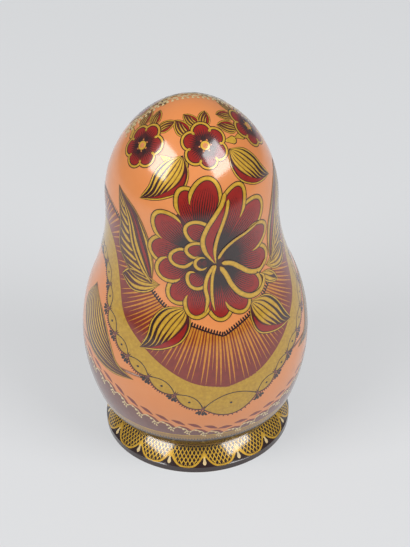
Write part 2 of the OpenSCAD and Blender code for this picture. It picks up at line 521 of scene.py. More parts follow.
class Brush:
    """Gathers the painted patches of a motif. Each is a grid of places with its colours and its height in the
    paint film."""

    def __init__(self, turning, palette, doll):
        self.turning = turning
        self.palette = palette
        self.doll = doll
        self.patches = []
        self.place = chart(turning, BACK)

    def mix(self, first, second, share):
        """Colours between two of the palette by a share for each place."""
        share = np.asarray(share, float)[..., None]
        return self.palette[first] * (1.0 - share) + self.palette[second] * share

    def count(self, number, least=3):
        """Number of fine strokes, fewer on the small dolls."""
        return max(least, int(round(number * self.doll.fine)))

    def patch(self, grid, colour, lift, gold=False):
        """Lays one grid, or several of the same size, at a height in the film, thinned out to the wanted
        cells."""
        azimuth, along = self.place(grid[..., 0], grid[..., 1])
        form = (-1,) + azimuth.shape[-2:]
        colour = self.palette[colour] if isinstance(colour, str) else colour
        paint = np.broadcast_to(colour, azimuth.shape + (3,)).reshape(form + (3,))
        azimuth, along = azimuth.reshape(form), along.reshape(form)
        flat = np.stack([azimuth * self.turning.at(along)[0], along])
        for axis in (1, 2):
            pick = self.thinned(flat, axis)
            azimuth, along, paint = (np.take(values, pick, axis) for values in (azimuth, along, paint))
            flat = np.take(flat, pick, axis + 1)
        self.patches.append((azimuth, along, paint, lift, gold))

    def thinned(self, flat, axis):
        """Rows or columns of a grid that make cells of about the wanted length."""
        count = flat.shape[axis + 1]
        step = np.hypot(*np.diff(flat, axis=axis + 1))
        wanted = int(np.ceil(step.sum(axis=axis).max() / self.doll.cell)) + 1
        return np.round(np.linspace(0, count - 1, min(count, max(wanted, self.doll.least_rows)))).astype(int)

    def gilded(self, grid, lift):
        """Lays gold paint that darkens towards both edges of the stroke."""
        edge = np.abs(np.linspace(-1.0, 1.0, grid.shape[-2])) ** 3 * GOLD_SHADE
        self.patch(grid, self.mix("gold", "bronze", edge), lift, True)

    def line(self, points, width, colour, lift, ends=(0.3, 0.3), edge=0.0, step=1.0):
        """Stroke along a smooth path, with a dark edge under it where one is given."""
        rows = max(6, int(path_length(points) / step) + 1)
        path = curve_at(points, np.linspace(0.0, 1.0, rows))
        form = taper(rows, *ends)
        if edge:
            self.patch(ribbon(path, (width + 2.0 * edge) * form), "soot", lift)
        if colour == "gold":
            self.gilded(ribbon(path, width * form, 4), lift + STROKE_RISE)
        else:
            self.patch(ribbon(path, width * form), colour, lift + STROKE_RISE)

    def strokes(self, start, end, width, colour, lift, bow=0.0, ends=(0.2, 0.6), rows=6, gold=False):
        """Many like strokes at once, each straight from start to end or bowed sideways as a parabola."""
        a = np.asarray(start, float)[..., None, :]
        way = np.asarray(end, float)[..., None, :] - a
        t = np.linspace(0.0, 1.0, rows)[:, None]
        path = a + way * t + across(way) * (bow * 4.0 * t * (1.0 - t))
        width = np.asarray(width, float)[..., None] * taper(rows, *ends)
        self.patch(ribbon(path, width), colour, lift, gold)

    def dots(self, centres, radius, colour, lift, sides=10, gold=False):
        """Round dots: an angle by a radius."""
        rim = radius * direction(np.linspace(0.0, TURN, sides + 1))
        grid = np.asarray(centres, float)[..., None, None, :] + np.stack([0.0 * rim, rim])
        self.patch(grid, colour, lift, gold)

    def drops(self, points, ends, width, colour, lift, gold=False):
        """Teardrops from their points to their round ends."""
        grid, _ = Petal(points, ends, width / 2.0, widest=0.7, power=0.9).grid(8, 4)
        self.patch(grid, colour, lift, gold)


# Motifs

# A petal's shade changes between these shares of its length, from this share of the whole change. Its veins
# spread over this share of its half width, start at this share of its length, reach further in the middle by
# this share and are as wide as this share of its half width. The dark edge makes its gold this much wider.
PETAL_SHADE = (0.08, 0.64)
PETAL_DARK = 0.3
VEIN_SPREAD = 0.86
VEIN_START = 0.12
VEIN_BULGE = 0.12
VEIN_WIDTH = 0.12
VEIN_ROWS = 24
GOLD_EDGE = 0.8


def paint_petal(brush, petal, lift, span, gold=2.0, veins=11, dark=0.78):
    """Shaded petal with dark veins and a gold edge outside it, each thinning out towards the base."""
    grid, t = petal.grid(30, 12)
    share = (PETAL_DARK + (1.0 - PETAL_DARK) * smooth(*PETAL_SHADE, t))[:, None]
    base, tip = brush.mix("soot", "maroon", share * 2.0), brush.mix("maroon", "crimson", share * 2.0 - 1.0)
    brush.patch(grid, np.where(share[..., None] < 0.5, base, tip), lift)
    v = np.linspace(-VEIN_SPREAD, VEIN_SPREAD, brush.count(veins, 5))[:, None]
    t = np.linspace(VEIN_START, 1.0, VEIN_ROWS) * (dark + VEIN_BULGE * np.cos(v * np.pi / 2) ** 2)
    width = VEIN_WIDTH * petal.half * taper(VEIN_ROWS, 0.2, 0.8)
    brush.patch(ribbon(petal.point(t, v), width, 1), "soot", lift + 0.008)
    rim = petal.rim(*span)
    form = taper(len(rim), 0.16, 0.16)
    out = -unit(across(np.gradient(rim, axis=0)))
    path = rim + out * (gold / 2.0 * form)[:, None]
    brush.patch(ribbon(path, (gold + GOLD_EDGE) * form + 0.1), "soot", lift + 0.014)
    brush.gilded(ribbon(path, gold * form, 4), lift + 0.020)


# Petals of the large flower: base, tip, half width, bend of the axis and the shares at which the gold edge
# starts and ends. Those of the left half turn round the bud, and those of the right half fan out from about
# one point.
ROSE_PETALS = (
    ((-8.0, 25.0), (-0.6, 61.0), 7.6, 0.05, (0.80, 0.60)),
    ((-8.5, 25.0), (-15.5, 56.5), 6.9, -0.04, (0.74, 0.74)),
    ((-9.0, 22.0), (-30.8, 42.2), 7.4, 0.06, (0.74, 0.74)),
    ((-9.0, 20.0), (-35.6, 23.0), 8.2, 0.03, (0.74, 0.74)),
    ((-9.0, 16.0), (-31.4, 6.0), 6.8, -0.04, (0.74, 0.74)),
    ((-8.0, 12.0), (-26.0, -7.4), 6.4, 0.05, (0.74, 0.74)),
    ((-6.5, 9.0), (-14.8, -17.0), 6.2, 0.02, (0.74, 0.82)),
)
ROSE_HEART = (
    ((-5.0, 22.0), (-15.5, 35.3), 5.3, -0.20, (0.12, 0.25)),
    ((-8.0, 17.0), (-24.0, 15.5), 4.7, -0.08, (0.40, 0.22)),
    ((-7.0, 10.5), (-15.0, 1.6), 4.9, 0.10, (0.40, 0.30)),
    ((-5.5, 15.0), (-15.4, 22.0), 3.9, -0.22, (0.10, 0.30)),
)
FAN_PETALS = (
    ((0.5, 14.0), (16.2, 53.6), 7.0, 0.07, (0.76, 0.83)),
    ((0.5, 14.0), (29.0, 40.5), 8.4, 0.05, (0.76, 0.76)),
    ((0.5, 13.5), (32.3, 22.6), 7.4, 0.02, (0.80, 0.82)),
    ((0.5, 13.0), (32.4, 5.2), 7.6, -0.03, (0.76, 0.70)),
    ((0.5, 9.0), (14.8, -18.0), 6.4, -0.02, (0.82, 0.82)),
    ((0.0, 10.0), (0.4, -20.0), 6.6, 0.0, (0.74, 0.74)),
    ((0.5, 11.0), (25.0, -9.6), 6.2, -0.04, (0.74, 0.74)),
)
# Ground under the petals, and the middle from which it is filled
FLOWER_BODY = (
    (-29.5, 31.0), (-19.0, 44.5), (-9.0, 51.0), (8.0, 51.0), (20.0, 43.5), (29.0, 30.0), (30.0, 13.5),
    (28.5, -1.0), (18.0, -13.5), (6.5, -15.5), (-6.0, -16.0), (-18.0, -9.0), (-26.0, 1.0), (-31.0, 13.0),
    (-29.5, 31.0),
)
FLOWER_MIDDLE = (0.0, 13.0)
BUD = (-8.2, 13.4)
BUD_R = 4.6
# Long gold strokes of the flower, each with its width
GOLD_SWEEPS = (
    (((6.9, 53.0), (4.6, 47.5), (0.0, 41.5), (-4.8, 35.0), (-7.4, 28.0), (-6.6, 21.5), (-1.2, 12.3)), 2.4),
    (((8.3, 49.0), (6.6, 42.5), (3.6, 35.5), (0.6, 28.0), (-1.0, 19.5), (-0.6, 12.0)), 1.9),
    (((0.6, 14.6), (4.0, 19.5), (9.5, 23.5), (18.0, 26.2), (28.5, 29.2)), 1.7),
    (((2.5, 12.0), (8.0, 10.4), (13.5, 6.0), (19.5, 1.2), (27.0, -0.6), (32.0, 3.5)), 2.6),
    (((1.5, 10.0), (4.6, 4.5), (7.6, -2.5), (12.5, -9.0), (20.0, -13.0), (27.0, -11.5), (29.3, -6.0),
      (26.0, -2.5)), 2.6),
    (((-1.5, 11.5), (-5.2, 6.0), (-7.2, -1.0), (-6.6, -9.0), (-9.0, -16.5)), 2.0),
    (((-0.8, 11.5), (-2.8, 5.0), (-3.8, -3.0), (-3.9, -10.0), (-3.2, -15.5)), 1.6),
)
# Red strokes under them
RED_SWEEPS = (
    (((7.6, 50.0), (5.2, 44.5), (0.8, 37.5), (-3.0, 30.5), (-3.9, 24.0), (-2.8, 17.0), (-1.0, 12.5)), 5.2),
    (((-1.2, 11.5), (-4.0, 5.0), (-5.6, -2.0), (-5.4, -9.0), (-6.0, -15.5)), 3.4),
)


# Height in the film from one rank of petals to the next
PETAL_RANK = 0.032


def paint_flower(brush, lift=0.18):
    """Large flower: a half rose round a bud on the left and a half fan of petals on the right."""
    body = filled(curve_at(FLOWER_BODY, np.linspace(0.0, 1.0, 169)), FLOWER_MIDDLE, 32)
    shade = 0.35 + 0.65 * smooth(0.3, 0.9, np.linspace(0.0, 1.0, 32))[:, None]
    brush.patch(body, brush.mix("soot", "maroon", shade), lift - 0.014)
    for petals in (ROSE_PETALS, FAN_PETALS):
        for number, (base, tip, half, bend, span) in enumerate(petals):
            last_of_fan = petals is FAN_PETALS and number == len(petals) - 1
            rank = 2 if last_of_fan else (number + 1) % 2
            paint_petal(brush, Petal(base, tip, half, bend), lift + PETAL_RANK * rank, span)
    lift += 3 * PETAL_RANK
    for rank, (base, tip, half, bend, span) in enumerate(ROSE_HEART):
        petal = Petal(base, tip, half, bend)
        paint_petal(brush, petal, lift + PETAL_RANK * rank, span, gold=1.9, veins=9, dark=0.88)
    lift += 4 * PETAL_RANK
    for points, width in RED_SWEEPS:
        brush.line(points, width, "crimson", lift, ends=(0.25, 0.45))
    for points, width in GOLD_SWEEPS:
        brush.line(points, width, "gold", lift + 0.014, ends=(0.04, 0.24), edge=0.4, step=0.8)
    brush.dots([BUD], BUD_R, "soot", lift + 0.016, sides=28)
    brush.dots([BUD], BUD_R - 1.9, "maroon", lift + 0.022, sides=28)
    ring = BUD + (BUD_R - 0.9) * direction(np.radians(np.linspace(55.0, 318.0, 9)))
    brush.line(ring, 1.8, "gold", lift + 0.026, edge=0.3, step=0.7)


# Striped leaf, in shares along it and across it: start, length, middle and half width of its red strip; where
# the stripes begin at the left and how far over they bend with and without that strip; where each stripe
# starts and ends, and how much earlier the later ones end
STRIP_START, STRIP_SPAN = 0.22, 0.70
STRIP_MIDDLE, STRIP_HALF = 0.73, 0.19
STRIPES_FROM, STRIPES_TO_STRIP, STRIPES_TO_EDGE = -0.96, 0.52, 0.90
STRIPE_START, STRIPE_END, STRIPE_STAGGER = 0.03, 0.99, 0.52


def paint_swept_leaf(brush, leaf, lift, stripes=5, red=True, body="soot", full=0.38):
    """Leaf whose gold stripes lie side by side from its base, bend over to the right and run out there one
    after the other, over a red strip and between gold edges."""
    columns = 14
    ground = brush.mix(body, "maroon", np.linspace(0.0, 1.0, columns))
    brush.patch(leaf.grid(36, columns), ground, lift)
    if red:
        u, w = cells(30, 4)
        v = STRIP_MIDDLE + STRIP_HALF * w * np.sin(np.pi * u) ** 0.6
        brush.patch(leaf.point(STRIP_START + STRIP_SPAN * u, v), "crimson", lift + 0.008)
    u, w = cells(30, 5)
    reach = STRIPES_TO_STRIP if red else STRIPES_TO_EDGE
    pitch = (reach - STRIPES_FROM) / stripes
    rank = np.arange(stripes)[:, None, None]
    start = STRIPES_FROM + pitch * (rank + 0.5)
    finish = np.where(rank == 0, 0.1, reach)
    middle = start + (finish - start) * u**3.0 + 0.16 * pitch * np.sin(TURN * u)
    half = full * pitch * taper(30, 0.05, 0.42)[:, None]
    stop = STRIPE_END - STRIPE_STAGGER * rank / stripes
    brush.gilded(leaf.point(STRIPE_START + (stop - STRIPE_START) * u, middle + half * w), lift + 0.014)
    for side in (-1.0, 1.0):
        brush.line(leaf.line(side, 12), 0.7, "gold", lift + 0.02, ends=(0.3, 0.15), edge=0.28)


# Feathered leaf, in shares along it and across it: first and last bar, lean of the bars towards the tip, and
# the long stripes
BAR_FIRST, BAR_LAST, BAR_LEAN = 0.03, 0.80, 0.17
LONG_STRIPES = 3
LONG_START, LONG_FIRST, LONG_SPREAD = 0.06, 0.25, 0.62


def paint_feather_leaf(brush, leaf, lift, bars=8):
    """Leaf with a gold rib. Gold bars leave it on the left and lean towards the tip, and long stripes follow
    it on the right."""
    columns = 14
    ground = brush.mix("umber", "maroon", 0.84 * np.linspace(0.0, 1.0, columns))
    brush.patch(leaf.grid(40, columns), ground, lift)
    u, w = cells(9, 5)
    rank = np.linspace(BAR_FIRST, BAR_LAST, bars)[:, None, None]
    half = 0.27 / bars * taper(9, 0.2, 0.8)[:, None]
    along = np.clip(rank + BAR_LEAN * u + half * w, 0.0, 1.0)
    shadow = np.clip(along - 0.55 * BAR_LEAN / bars, 0.0, 1.0)
    brush.patch(leaf.point(shadow, -0.08 - 0.84 * u), "soot", lift + 0.006)
    brush.gilded(leaf.point(along, -0.10 - 0.82 * u), lift + 0.012)
    u, w = cells(34, 5)
    across_stripe = 0.5 / LONG_STRIPES * taper(34, 0.25, 0.6)[:, None] * w
    for number in range(LONG_STRIPES):
        middle = LONG_FIRST + LONG_SPREAD * number / (LONG_STRIPES - 1)
        along = LONG_START + (0.90 - 0.14 * number) * u
        brush.patch(leaf.point(along, middle + 0.75 * across_stripe), "soot", lift + 0.006)
        stripe = leaf.point(along, middle + 0.52 * across_stripe)
        if number % 2:
            brush.patch(stripe, "crimson", lift + 0.012)
        else:
            brush.gilded(stripe, lift + 0.012)
    brush.line(leaf.line(0.0, 12), 1.5, "gold", lift + 0.018, ends=(0.1, 0.4), edge=0.3)
    for side in (-1.0, 1.0):
        brush.line(leaf.line(side, 14), 0.7, "bronze", lift + 0.02, ends=(0.3, 0.15), edge=0.25)


# Leaves round the large flower, each with its left and right edge from base to tip
HANGING_LEFT = Leaf(
    [(-12.0, 75.0), (-20.0, 72.0), (-29.0, 64.5), (-35.0, 55.0), (-41.5, 48.0)],
    [(-12.0, 75.0), (-11.0, 66.0), (-15.0, 57.5), (-26.0, 51.5), (-41.5, 48.0)],
)
HANGING_RIGHT = Leaf(
    [(14.0, 74.0), (13.0, 66.0), (17.0, 57.0), (26.0, 51.0), (43.0, 48.0)],
    [(14.0, 74.0), (23.0, 70.5), (31.0, 63.5), (37.0, 55.0), (43.0, 48.0)],
)
TALL_LEFT = Leaf(
    [(-37.0, -1.5), (-50.0, 1.0), (-58.5, 10.0), (-57.5, 30.0), (-58.5, 48.5)],
    [(-37.0, -1.5), (-35.5, 10.0), (-38.0, 26.0), (-45.0, 40.0), (-58.5, 48.5)],
)
FERN_LEFT = Leaf(
    [(-32.0, -1.0), (-42.0, -7.5), (-51.0, -8.5), (-58.0, -3.0)],
    [(-32.0, -1.0), (-42.0, 2.5), (-52.0, 2.0), (-58.0, -3.0)],
)
LOWER_LEFT = Leaf(
    [(-18.0, -12.5), (-30.0, -14.0), (-38.5, -22.0), (-43.0, -32.0), (-48.5, -39.5)],
    [(-18.0, -12.5), (-17.5, -22.0), (-22.5, -31.0), (-33.0, -37.0), (-48.5, -39.5)],
)
LOWER_RIGHT = Leaf(
    [(18.0, -15.5), (17.5, -25.0), (21.0, -34.0), (32.0, -38.5), (48.0, -39.0)],
    [(18.0, -15.5), (30.0, -17.0), (38.0, -24.0), (43.0, -32.0), (48.0, -39.0)],
)
SMALL_RIGHT = Leaf(
    [(27.0, -3.5), (31.0, -9.5), (36.0, -12.5), (42.0, -14.0)],
    [(27.0, -3.5), (33.0, -4.5), (38.0, -8.0), (42.0, -14.0)],
)


def paint_leaves(brush, lift=0.10):
    """Leaves round the large flower: striped ones above and below it and feathered ones at its sides."""
    for leaf in FERN_LEFT.pair():
        paint_swept_leaf(brush, leaf, lift, stripes=4, red=False, body="maroon")
    for leaf in TALL_LEFT.pair():
        paint_feather_leaf(brush, leaf, lift + 0.024, bars=10)
    paint_swept_leaf(brush, SMALL_RIGHT, lift + 0.05, stripes=2, red=False)
    for leaf in (HANGING_LEFT, HANGING_RIGHT.turned(), LOWER_LEFT, LOWER_RIGHT.turned()):
        paint_swept_leaf(brush, leaf, lift + 0.05)


# Shawl: roots and tips of the rays and the knots of the lace, as degrees round the doll and height on the
# chart. The rays and the lace on the front are given for the right side, and the left side mirrors them.
RAY_ROOTS = (
    (0.0, -30.0), (9.7, -25.7), (18.8, -21.7), (27.9, -16.4), (37.1, -9.6), (45.7, -0.7), (52.0, 9.0),
    (59.0, 20.0), (70.0, 30.0), (90.0, 36.0), (120.0, 28.0), (150.0, 8.0), (180.0, -4.0),
)
RAY_TIPS = (
    (0.0, -62.5), (16.2, -58.2), (31.0, -48.7), (45.1, -37.0), (59.2, -23.6), (67.0, -8.0), (73.0, 4.0),
    (79.0, 12.0), (87.0, 17.0), (100.0, 19.0), (125.0, 12.0), (152.0, -4.0), (180.0, -14.0),
)
LACE_MIDDLE = ((-12.5, -76.5), (16.2, -73.0))
LACE_LEFT = (
    (-26.0, -66.0), (-39.5, -56.5), (-51.5, -47.5), (-61.0, -38.0), (-70.0, -27.0), (-75.0, -14.5),
    (-84.0, -4.0),
)
LACE_RIGHT = (
    (27.5, -64.5), (37.0, -57.5), (48.0, -50.0), (58.5, -41.0), (68.0, -29.5), (74.0, -16.0), (83.0, -5.0),
)
FRONT_LACE = ((96.0, -1.0), (110.0, -3.0), (124.0, -7.0), (138.0, -12.5), (152.0, -18.5), (166.0, -23.0))
# Rays and teeth of the comb all round, and how far the lace hangs between its knots as a share of their
# distance, also at the middle of the back
RAYS = 172
TEETH = 260
LACE_SAG = 0.20
MIDDLE_SAG = 0.27


def on_belt(places):
    """Places in degrees and chart height as belt coordinates."""
    p = np.asarray(places, float)
    return np.stack([np.radians(p[..., 0]) * BELT_R, p[..., 1]], axis=-1)


def both_sides(points, share, guide=None):
    """Path on the belt at shares from -1 to 1: the given right side, and its mirror image where a share is
    negative."""
    side = np.where(share < 0.0, -1.0, 1.0)
    return curve_at(on_belt(points), np.abs(share), guide) * level(side, 1.0)


def ray_ends(share):
    """Root and tip of the ray at a share from -1 to 1 of the way round, on the belt."""
    return tuple(both_sides(ends, share, on_belt(RAY_TIPS)) for ends in (RAY_ROOTS, RAY_TIPS))


def lace_knots():
    """Knots of the lace in order round the doll, ending with the first knot again."""
    left_front = [(-a, y) for a, y in FRONT_LACE]
    ring = list(LACE_MIDDLE) + list(LACE_RIGHT) + list(FRONT_LACE)
    ring += [(360.0 + a, y) for a, y in left_front[::-1] + list(LACE_LEFT[::-1]) + [LACE_MIDDLE[0]]]
    return on_belt(ring)


def scallop(a, b, sag, share):
    """Parabola between two knots that hangs out to the right of the way by a share of their distance."""
    way = (b - a)[..., None, :]
    share = share[:, None]
    sag = np.broadcast_to(sag, a.shape[:-1])[..., None, None]
    return a[..., None, :] + way * share - across(way) * (sag * 4.0 * share * (1.0 - share))


def paint_shawl(brush):
    """Shawl over the back: a field of gold rays under a toothed comb, a wide gold band and a lace edge."""
    brush.place = belt(BELT_R)
    root, tip = ray_ends(np.linspace(-1.0, 1.0, 481))
    row = np.linspace(0.0, 1.0, 14)[:, None, None]
    shade = brush.mix("ember", "russet", smooth(0.0, 0.62, row[..., 0]))
    brush.patch(root * (1.0 - row) + tip * row, shade, 0.012)

    knots = lace_knots()
    a, b = knots[:-1], knots[1:]
    sag = np.full(len(a), LACE_SAG)
    sag[0] = MIDDLE_SAG
    along = np.linspace(0.0, 1.0, 15)
    edge = scallop(a, b, sag, along)
    chord_x = scallop(a, b, 0.0, along)[..., 0]
    tips_x, tips_y = np.concatenate([tip, tip[1:] + [TURN * BELT_R, 0.0]]).T
    inner = level(chord_x, np.interp(chord_x, tips_x, tips_y) + 0.3)
    row = np.linspace(0.0, 1.0, 12)[:, None, None]
    brush.patch(inner[:, None] * (1.0 - row) + edge[:, None] * row, "mustard", 0.02, True)

    rays = np.linspace(-1.0, 1.0, brush.count(RAYS)) + 0.0016
    root, tip = ray_ends(rays)
    long = np.arange(len(rays)) % 3 != 1
    wide = np.where(long, 1.15, 0.85) * (1.0 + 0.2 * np.sin(rays * 371.0))
    end = root + (tip - root) * np.where(long, 0.98, 0.78 + 0.1 * np.sin(rays * 523.0))[:, None]
    brush.strokes(root, end, wide, "ray", 0.034, ends=(0.02, 0.65), rows=24, gold=True)

    root = both_sides(RAY_ROOTS, np.linspace(-1.0, 1.0, brush.count(TEETH)) + 0.001)
    up = unit(across(np.gradient(root, axis=0)))
    brush.patch(ribbon(root - 0.6 * up, 0.7, 1), "soot", 0.046)
    brush.strokes(root - 1.3 * up, root + 2.0 * up, 1.1, "soot", 0.052, ends=(0.1, 0.15), rows=5)
    paint_lace(brush, a, b, sag, edge)


def paint_lace(brush, a, b, sag, edge):
    """Scallops with a toothed lower edge, a thin upper arc and a dot, and knots with a spike and a tassel."""
    brush.patch(ribbon(edge, 0.85, 1), "maroon", 0.05)
    foot = scallop(a, b, sag, np.linspace(0.03, 0.97, brush.count(13, 7)))
    out = -unit(across(np.gradient(foot, axis=-2)))
    brush.strokes(foot - 0.2 * out, foot + 1.7 * out, 0.8, "maroon", 0.056, ends=(0.05, 0.5), rows=3)
    arc = scallop(a, b, -0.24, np.linspace(0.0, 1.0, 15))
    brush.patch(ribbon(arc, 0.55, 1), "soot", 0.056)
    brush.dots((a + b) / 2.0 + 0.02 * across(b - a), 0.75, "soot", 0.056)
    side = across(unit(b - a))
    up = unit(side + np.roll(side, 1, axis=0))
    over = -across(up)
    for lean in (-0.45, 0.2, 0.75):
        spike = a + (3.4 - abs(lean)) * up + 2.4 * lean * over
        brush.strokes(a - 0.5 * up, spike, 0.7, "maroon", 0.06, rows=4)
    for lean in (-0.75, -0.28, 0.28, 0.75):
        tassel = a - (5.6 - 1.6 * abs(lean)) * up + 4.2 * lean * over
        brush.drops(a - 1.2 * up + 0.8 * lean * over, tassel, 1.6, "soot", 0.06)
    brush.dots(a, 0.95, "plum", 0.066)


# Hem of the skirt on the right side, as degrees round the doll and height on the chart, and the level bands
# under it
HEM = (
    (0.0, -97.0), (18.0, -92.5), (36.0, -87.0), (50.0, -81.0), (64.0, -72.5), (80.0, -67.0), (120.0, -66.5),
    (180.0, -69.0),
)
HEM_DASHES = 42
BAND_TEETH = 220
PLUM_FOOT = -101.0
GOLD_FOOT = -106.0
DARK_FOOT = -109.0
# Points of the cream line in each dash, its dots with their sizes and its drops with their lean
WAVE_POINTS = 24
WAVE_DOTS = ((4, 0.75), (10, 0.95), (16, 0.8), (21, 0.6))
WAVE_DROPS = ((15, -0.5), (17, 0.1), (19, 0.7))
SIDE_LEAF = Leaf(
    [(-88.0, -22.0), (-104.0, -40.0), (-96.0, -56.0), (-76.0, -63.5), (-54.0, -62.0)],
    [(-88.0, -22.0), (-77.0, -32.0), (-71.0, -45.0), (-66.0, -56.0), (-54.0, -62.0)],
)


def hem_frame(share):
    """Places on the hem at shares from -1 to 1, with the directions along it and up from it."""
    at = both_sides(HEM, share)
    way = unit(both_sides(HEM, share + 0.002) - at)
    way *= np.where(way[..., :1] < 0.0, -1.0, 1.0)
    return at, way, across(way)


def paint_skirt(brush):
    """Skirt: striped leaves at the sides, a hem of leaf dashes and cream beading, and level bands at the
    foot."""
    brush.place = belt(BELT_R)
    hem = both_sides(HEM, np.linspace(-1.0, 1.0, 481))
    around = hem[:, 0]
    row = np.linspace(0.0, 1.0, 14)[:, None, None]
    brush.patch((hem - [0.0, 3.0]) * (1.0 - row) + level(around, PLUM_FOOT) * row, "plum", 0.012)
    for top, foot, colour in ((PLUM_FOOT, GOLD_FOOT, "bronze"), (GOLD_FOOT, DARK_FOOT, "soot")):
        brush.patch(level(around, np.linspace(top, foot, 4)[:, None]), colour, 0.02, colour == "bronze")
    brush.patch(ribbon(level(around, PLUM_FOOT), 0.5, 1), "gold", 0.03, True)
    teeth = on_belt(level(np.linspace(-180.0, 180.0, brush.count(BAND_TEETH)), GOLD_FOOT))
    brush.strokes(teeth, teeth + [0.0, 1.5], 1.3, "soot", 0.03, ends=(0.02, 0.9), rows=4)

    dashes = np.arange(HEM_DASHES) * 2.0 / HEM_DASHES - 1.0
    for rise, shift in ((1.8, 0.0), (-2.4, 1.0 / HEM_DASHES)):
        at, way, up = hem_frame(dashes + shift)
        middle = at + rise * up
        tilt = 4.5 * way - 1.0 * up
        brush.strokes(middle - tilt, middle + tilt, 2.7, "russet", 0.03, bow=0.05, ends=(0.5, 0.5), rows=10)
    wave = np.linspace(-1.0, 1.0, HEM_DASHES * WAVE_POINTS + 1)
    turn = wave * HEM_DASHES * np.pi
    at, way, up = hem_frame(wave)
    line = at + (-2.9 + 1.3 * np.sin(turn) + 0.5 * np.sin(2.0 * turn + 0.7))[:, None] * up
    brush.patch(ribbon(line, 0.55, 1), "cream", 0.036)
    for first, size in WAVE_DOTS:
        brush.dots((line - 0.6 * up)[first::WAVE_POINTS], size, "cream", 0.042, sides=8)
    for first, lean in WAVE_DROPS:
        stem = (line - 0.8 * up)[first::WAVE_POINTS]
        hang = (-2.6 * up + lean * 1.4 * way)[first::WAVE_POINTS]
        brush.drops(stem, stem + hang, 1.1, "cream", 0.042)
    brush.place = chart(brush.turning, BACK)
    for leaf in SIDE_LEAF.pair():
        paint_swept_leaf(brush, leaf, 0.07, stripes=8, red=False, body="umber", full=0.25)


# Plinth: scallops of gold net on black, with the heights of the net and its mesh on the chart
SCALLOPS = 16
SCALLOP_START = np.radians(-11.6)
PLINTH_GIRTH = TURN * PLINTH_R
SCALLOP_PITCH = PLINTH_GIRTH / SCALLOPS
NET_TOP = -123.9
SCALLOP_FOOT = -136.4
SCALLOP_RISE = 8.6
NET_PITCH = 2.3
NET_SLANT = 0.55
NET_STEPS = 60


def scallop_edge(x):
    """Lower edge of the gold net at a way round the plinth: a power curve that repeats with each scallop."""
    off = np.abs((x / SCALLOP_PITCH) % 1.0 - 0.5) * 2.0
    return SCALLOP_FOOT + SCALLOP_RISE * off**2.6


def paint_plinth(brush):
    """Gold net in scallops round the flare of the plinth, with gold edges and a cream drop between them."""
    brush.place = belt(PLINTH_R, BACK + SCALLOP_START)
    lines = int(PLINTH_GIRTH / NET_PITCH * (0.5 + 0.5 * brush.doll.fine))
    x = np.arange(lines) * PLINTH_GIRTH / lines
    start = level(x, NET_TOP)
    depth = np.linspace(0.0, NET_TOP - SCALLOP_FOOT, NET_STEPS)
    for slant_way in (-NET_SLANT, NET_SLANT):
        below = NET_TOP - depth < scallop_edge(x[:, None] + slant_way * depth) + 0.3
        reach = depth[np.where(below.any(1), below.argmax(1), NET_STEPS - 1)]
        end = start + reach[:, None] * [slant_way, -1.0]
        brush.strokes(start, end, 0.52, "gold", 0.03, ends=(0.02, 0.02), rows=9, gold=True)
    x = np.linspace(0.0, PLINTH_GIRTH, SCALLOPS * 36 + 1)
    brush.gilded(ribbon(level(x, scallop_edge(x)), 1.15, 4), 0.05)
    meets = level(np.arange(SCALLOPS) * SCALLOP_PITCH, SCALLOP_FOOT + SCALLOP_RISE)
    brush.drops(meets + [0.0, 0.5], meets - [0.0, 4.0], 2.2, "gold", 0.06, True)
    brush.drops(meets - [0.0, 2.6], meets - [0.0, 7.6], 2.0, "cream", 0.066)
    brush.patch(ribbon(level(x, NET_TOP + 0.2), 0.7, 1), "bronze", 0.05, True)


# Wreath round the crown: height of each flower on the chart, then the buds and leaves beside each flower as
# degrees round and height from it, the leaves with their turn and size
WREATH_Y = (79.5, 73.5, 77.5, 77.5, 74.0)
WREATH_START = np.radians(2.0)
WREATH_SIZE = 1.1
WREATH_BUDS = ((31.0, -2.0), (46.0, -3.5))
WREATH_LEAVES = ((-30.0, 10.5, 0.8, 0.85), (-14.0, 15.5, 0.7, 0.75), (14.0, 15.0, -0.6, 0.75))
WREATH_LEAF = Leaf(
    [(0.0, -7.5), (-4.2, -2.5), (-3.4, 3.0), (0.0, 8.0)],
    [(0.0, -7.5), (4.2, -2.5), (3.4, 3.0), (0.0, 8.0)],
)
# Arch over the crown: its lean to the front, its turn and half its length
CROWN_LEAN = np.radians(7.0)
CROWN_TURN = np.radians(-8.0)
CROWN_REACH = 42.0


def paint_small_flower(brush, lift):
    """Flower of six round petals with gold edges, a ring of dark beads and a gold eye."""
    middle = [(0.0, 0.0)]
    turn = np.radians(90.0 + 60.0 * np.arange(6))
    brush.dots(middle, 7.0, "soot", lift, sides=24)
    for way in direction(turn):
        petal = Petal(2.0 * way, 11.0 * way, 4.1, widest=0.55, power=0.7)
        paint_petal(brush, petal, lift + 0.006, (0.46, 0.46), gold=1.15, veins=7, dark=0.66)
    brush.dots(4.4 * direction(turn + np.radians(30.0)), 1.15, "maroon", lift + 0.032)
    brush.dots(middle, 2.6, "soot", lift + 0.032, sides=20)
    brush.dots(middle, 2.3, "gold", lift + 0.038, sides=20, gold=True)
    brush.dots(middle, 1.35, "salmon", lift + 0.044, sides=14)


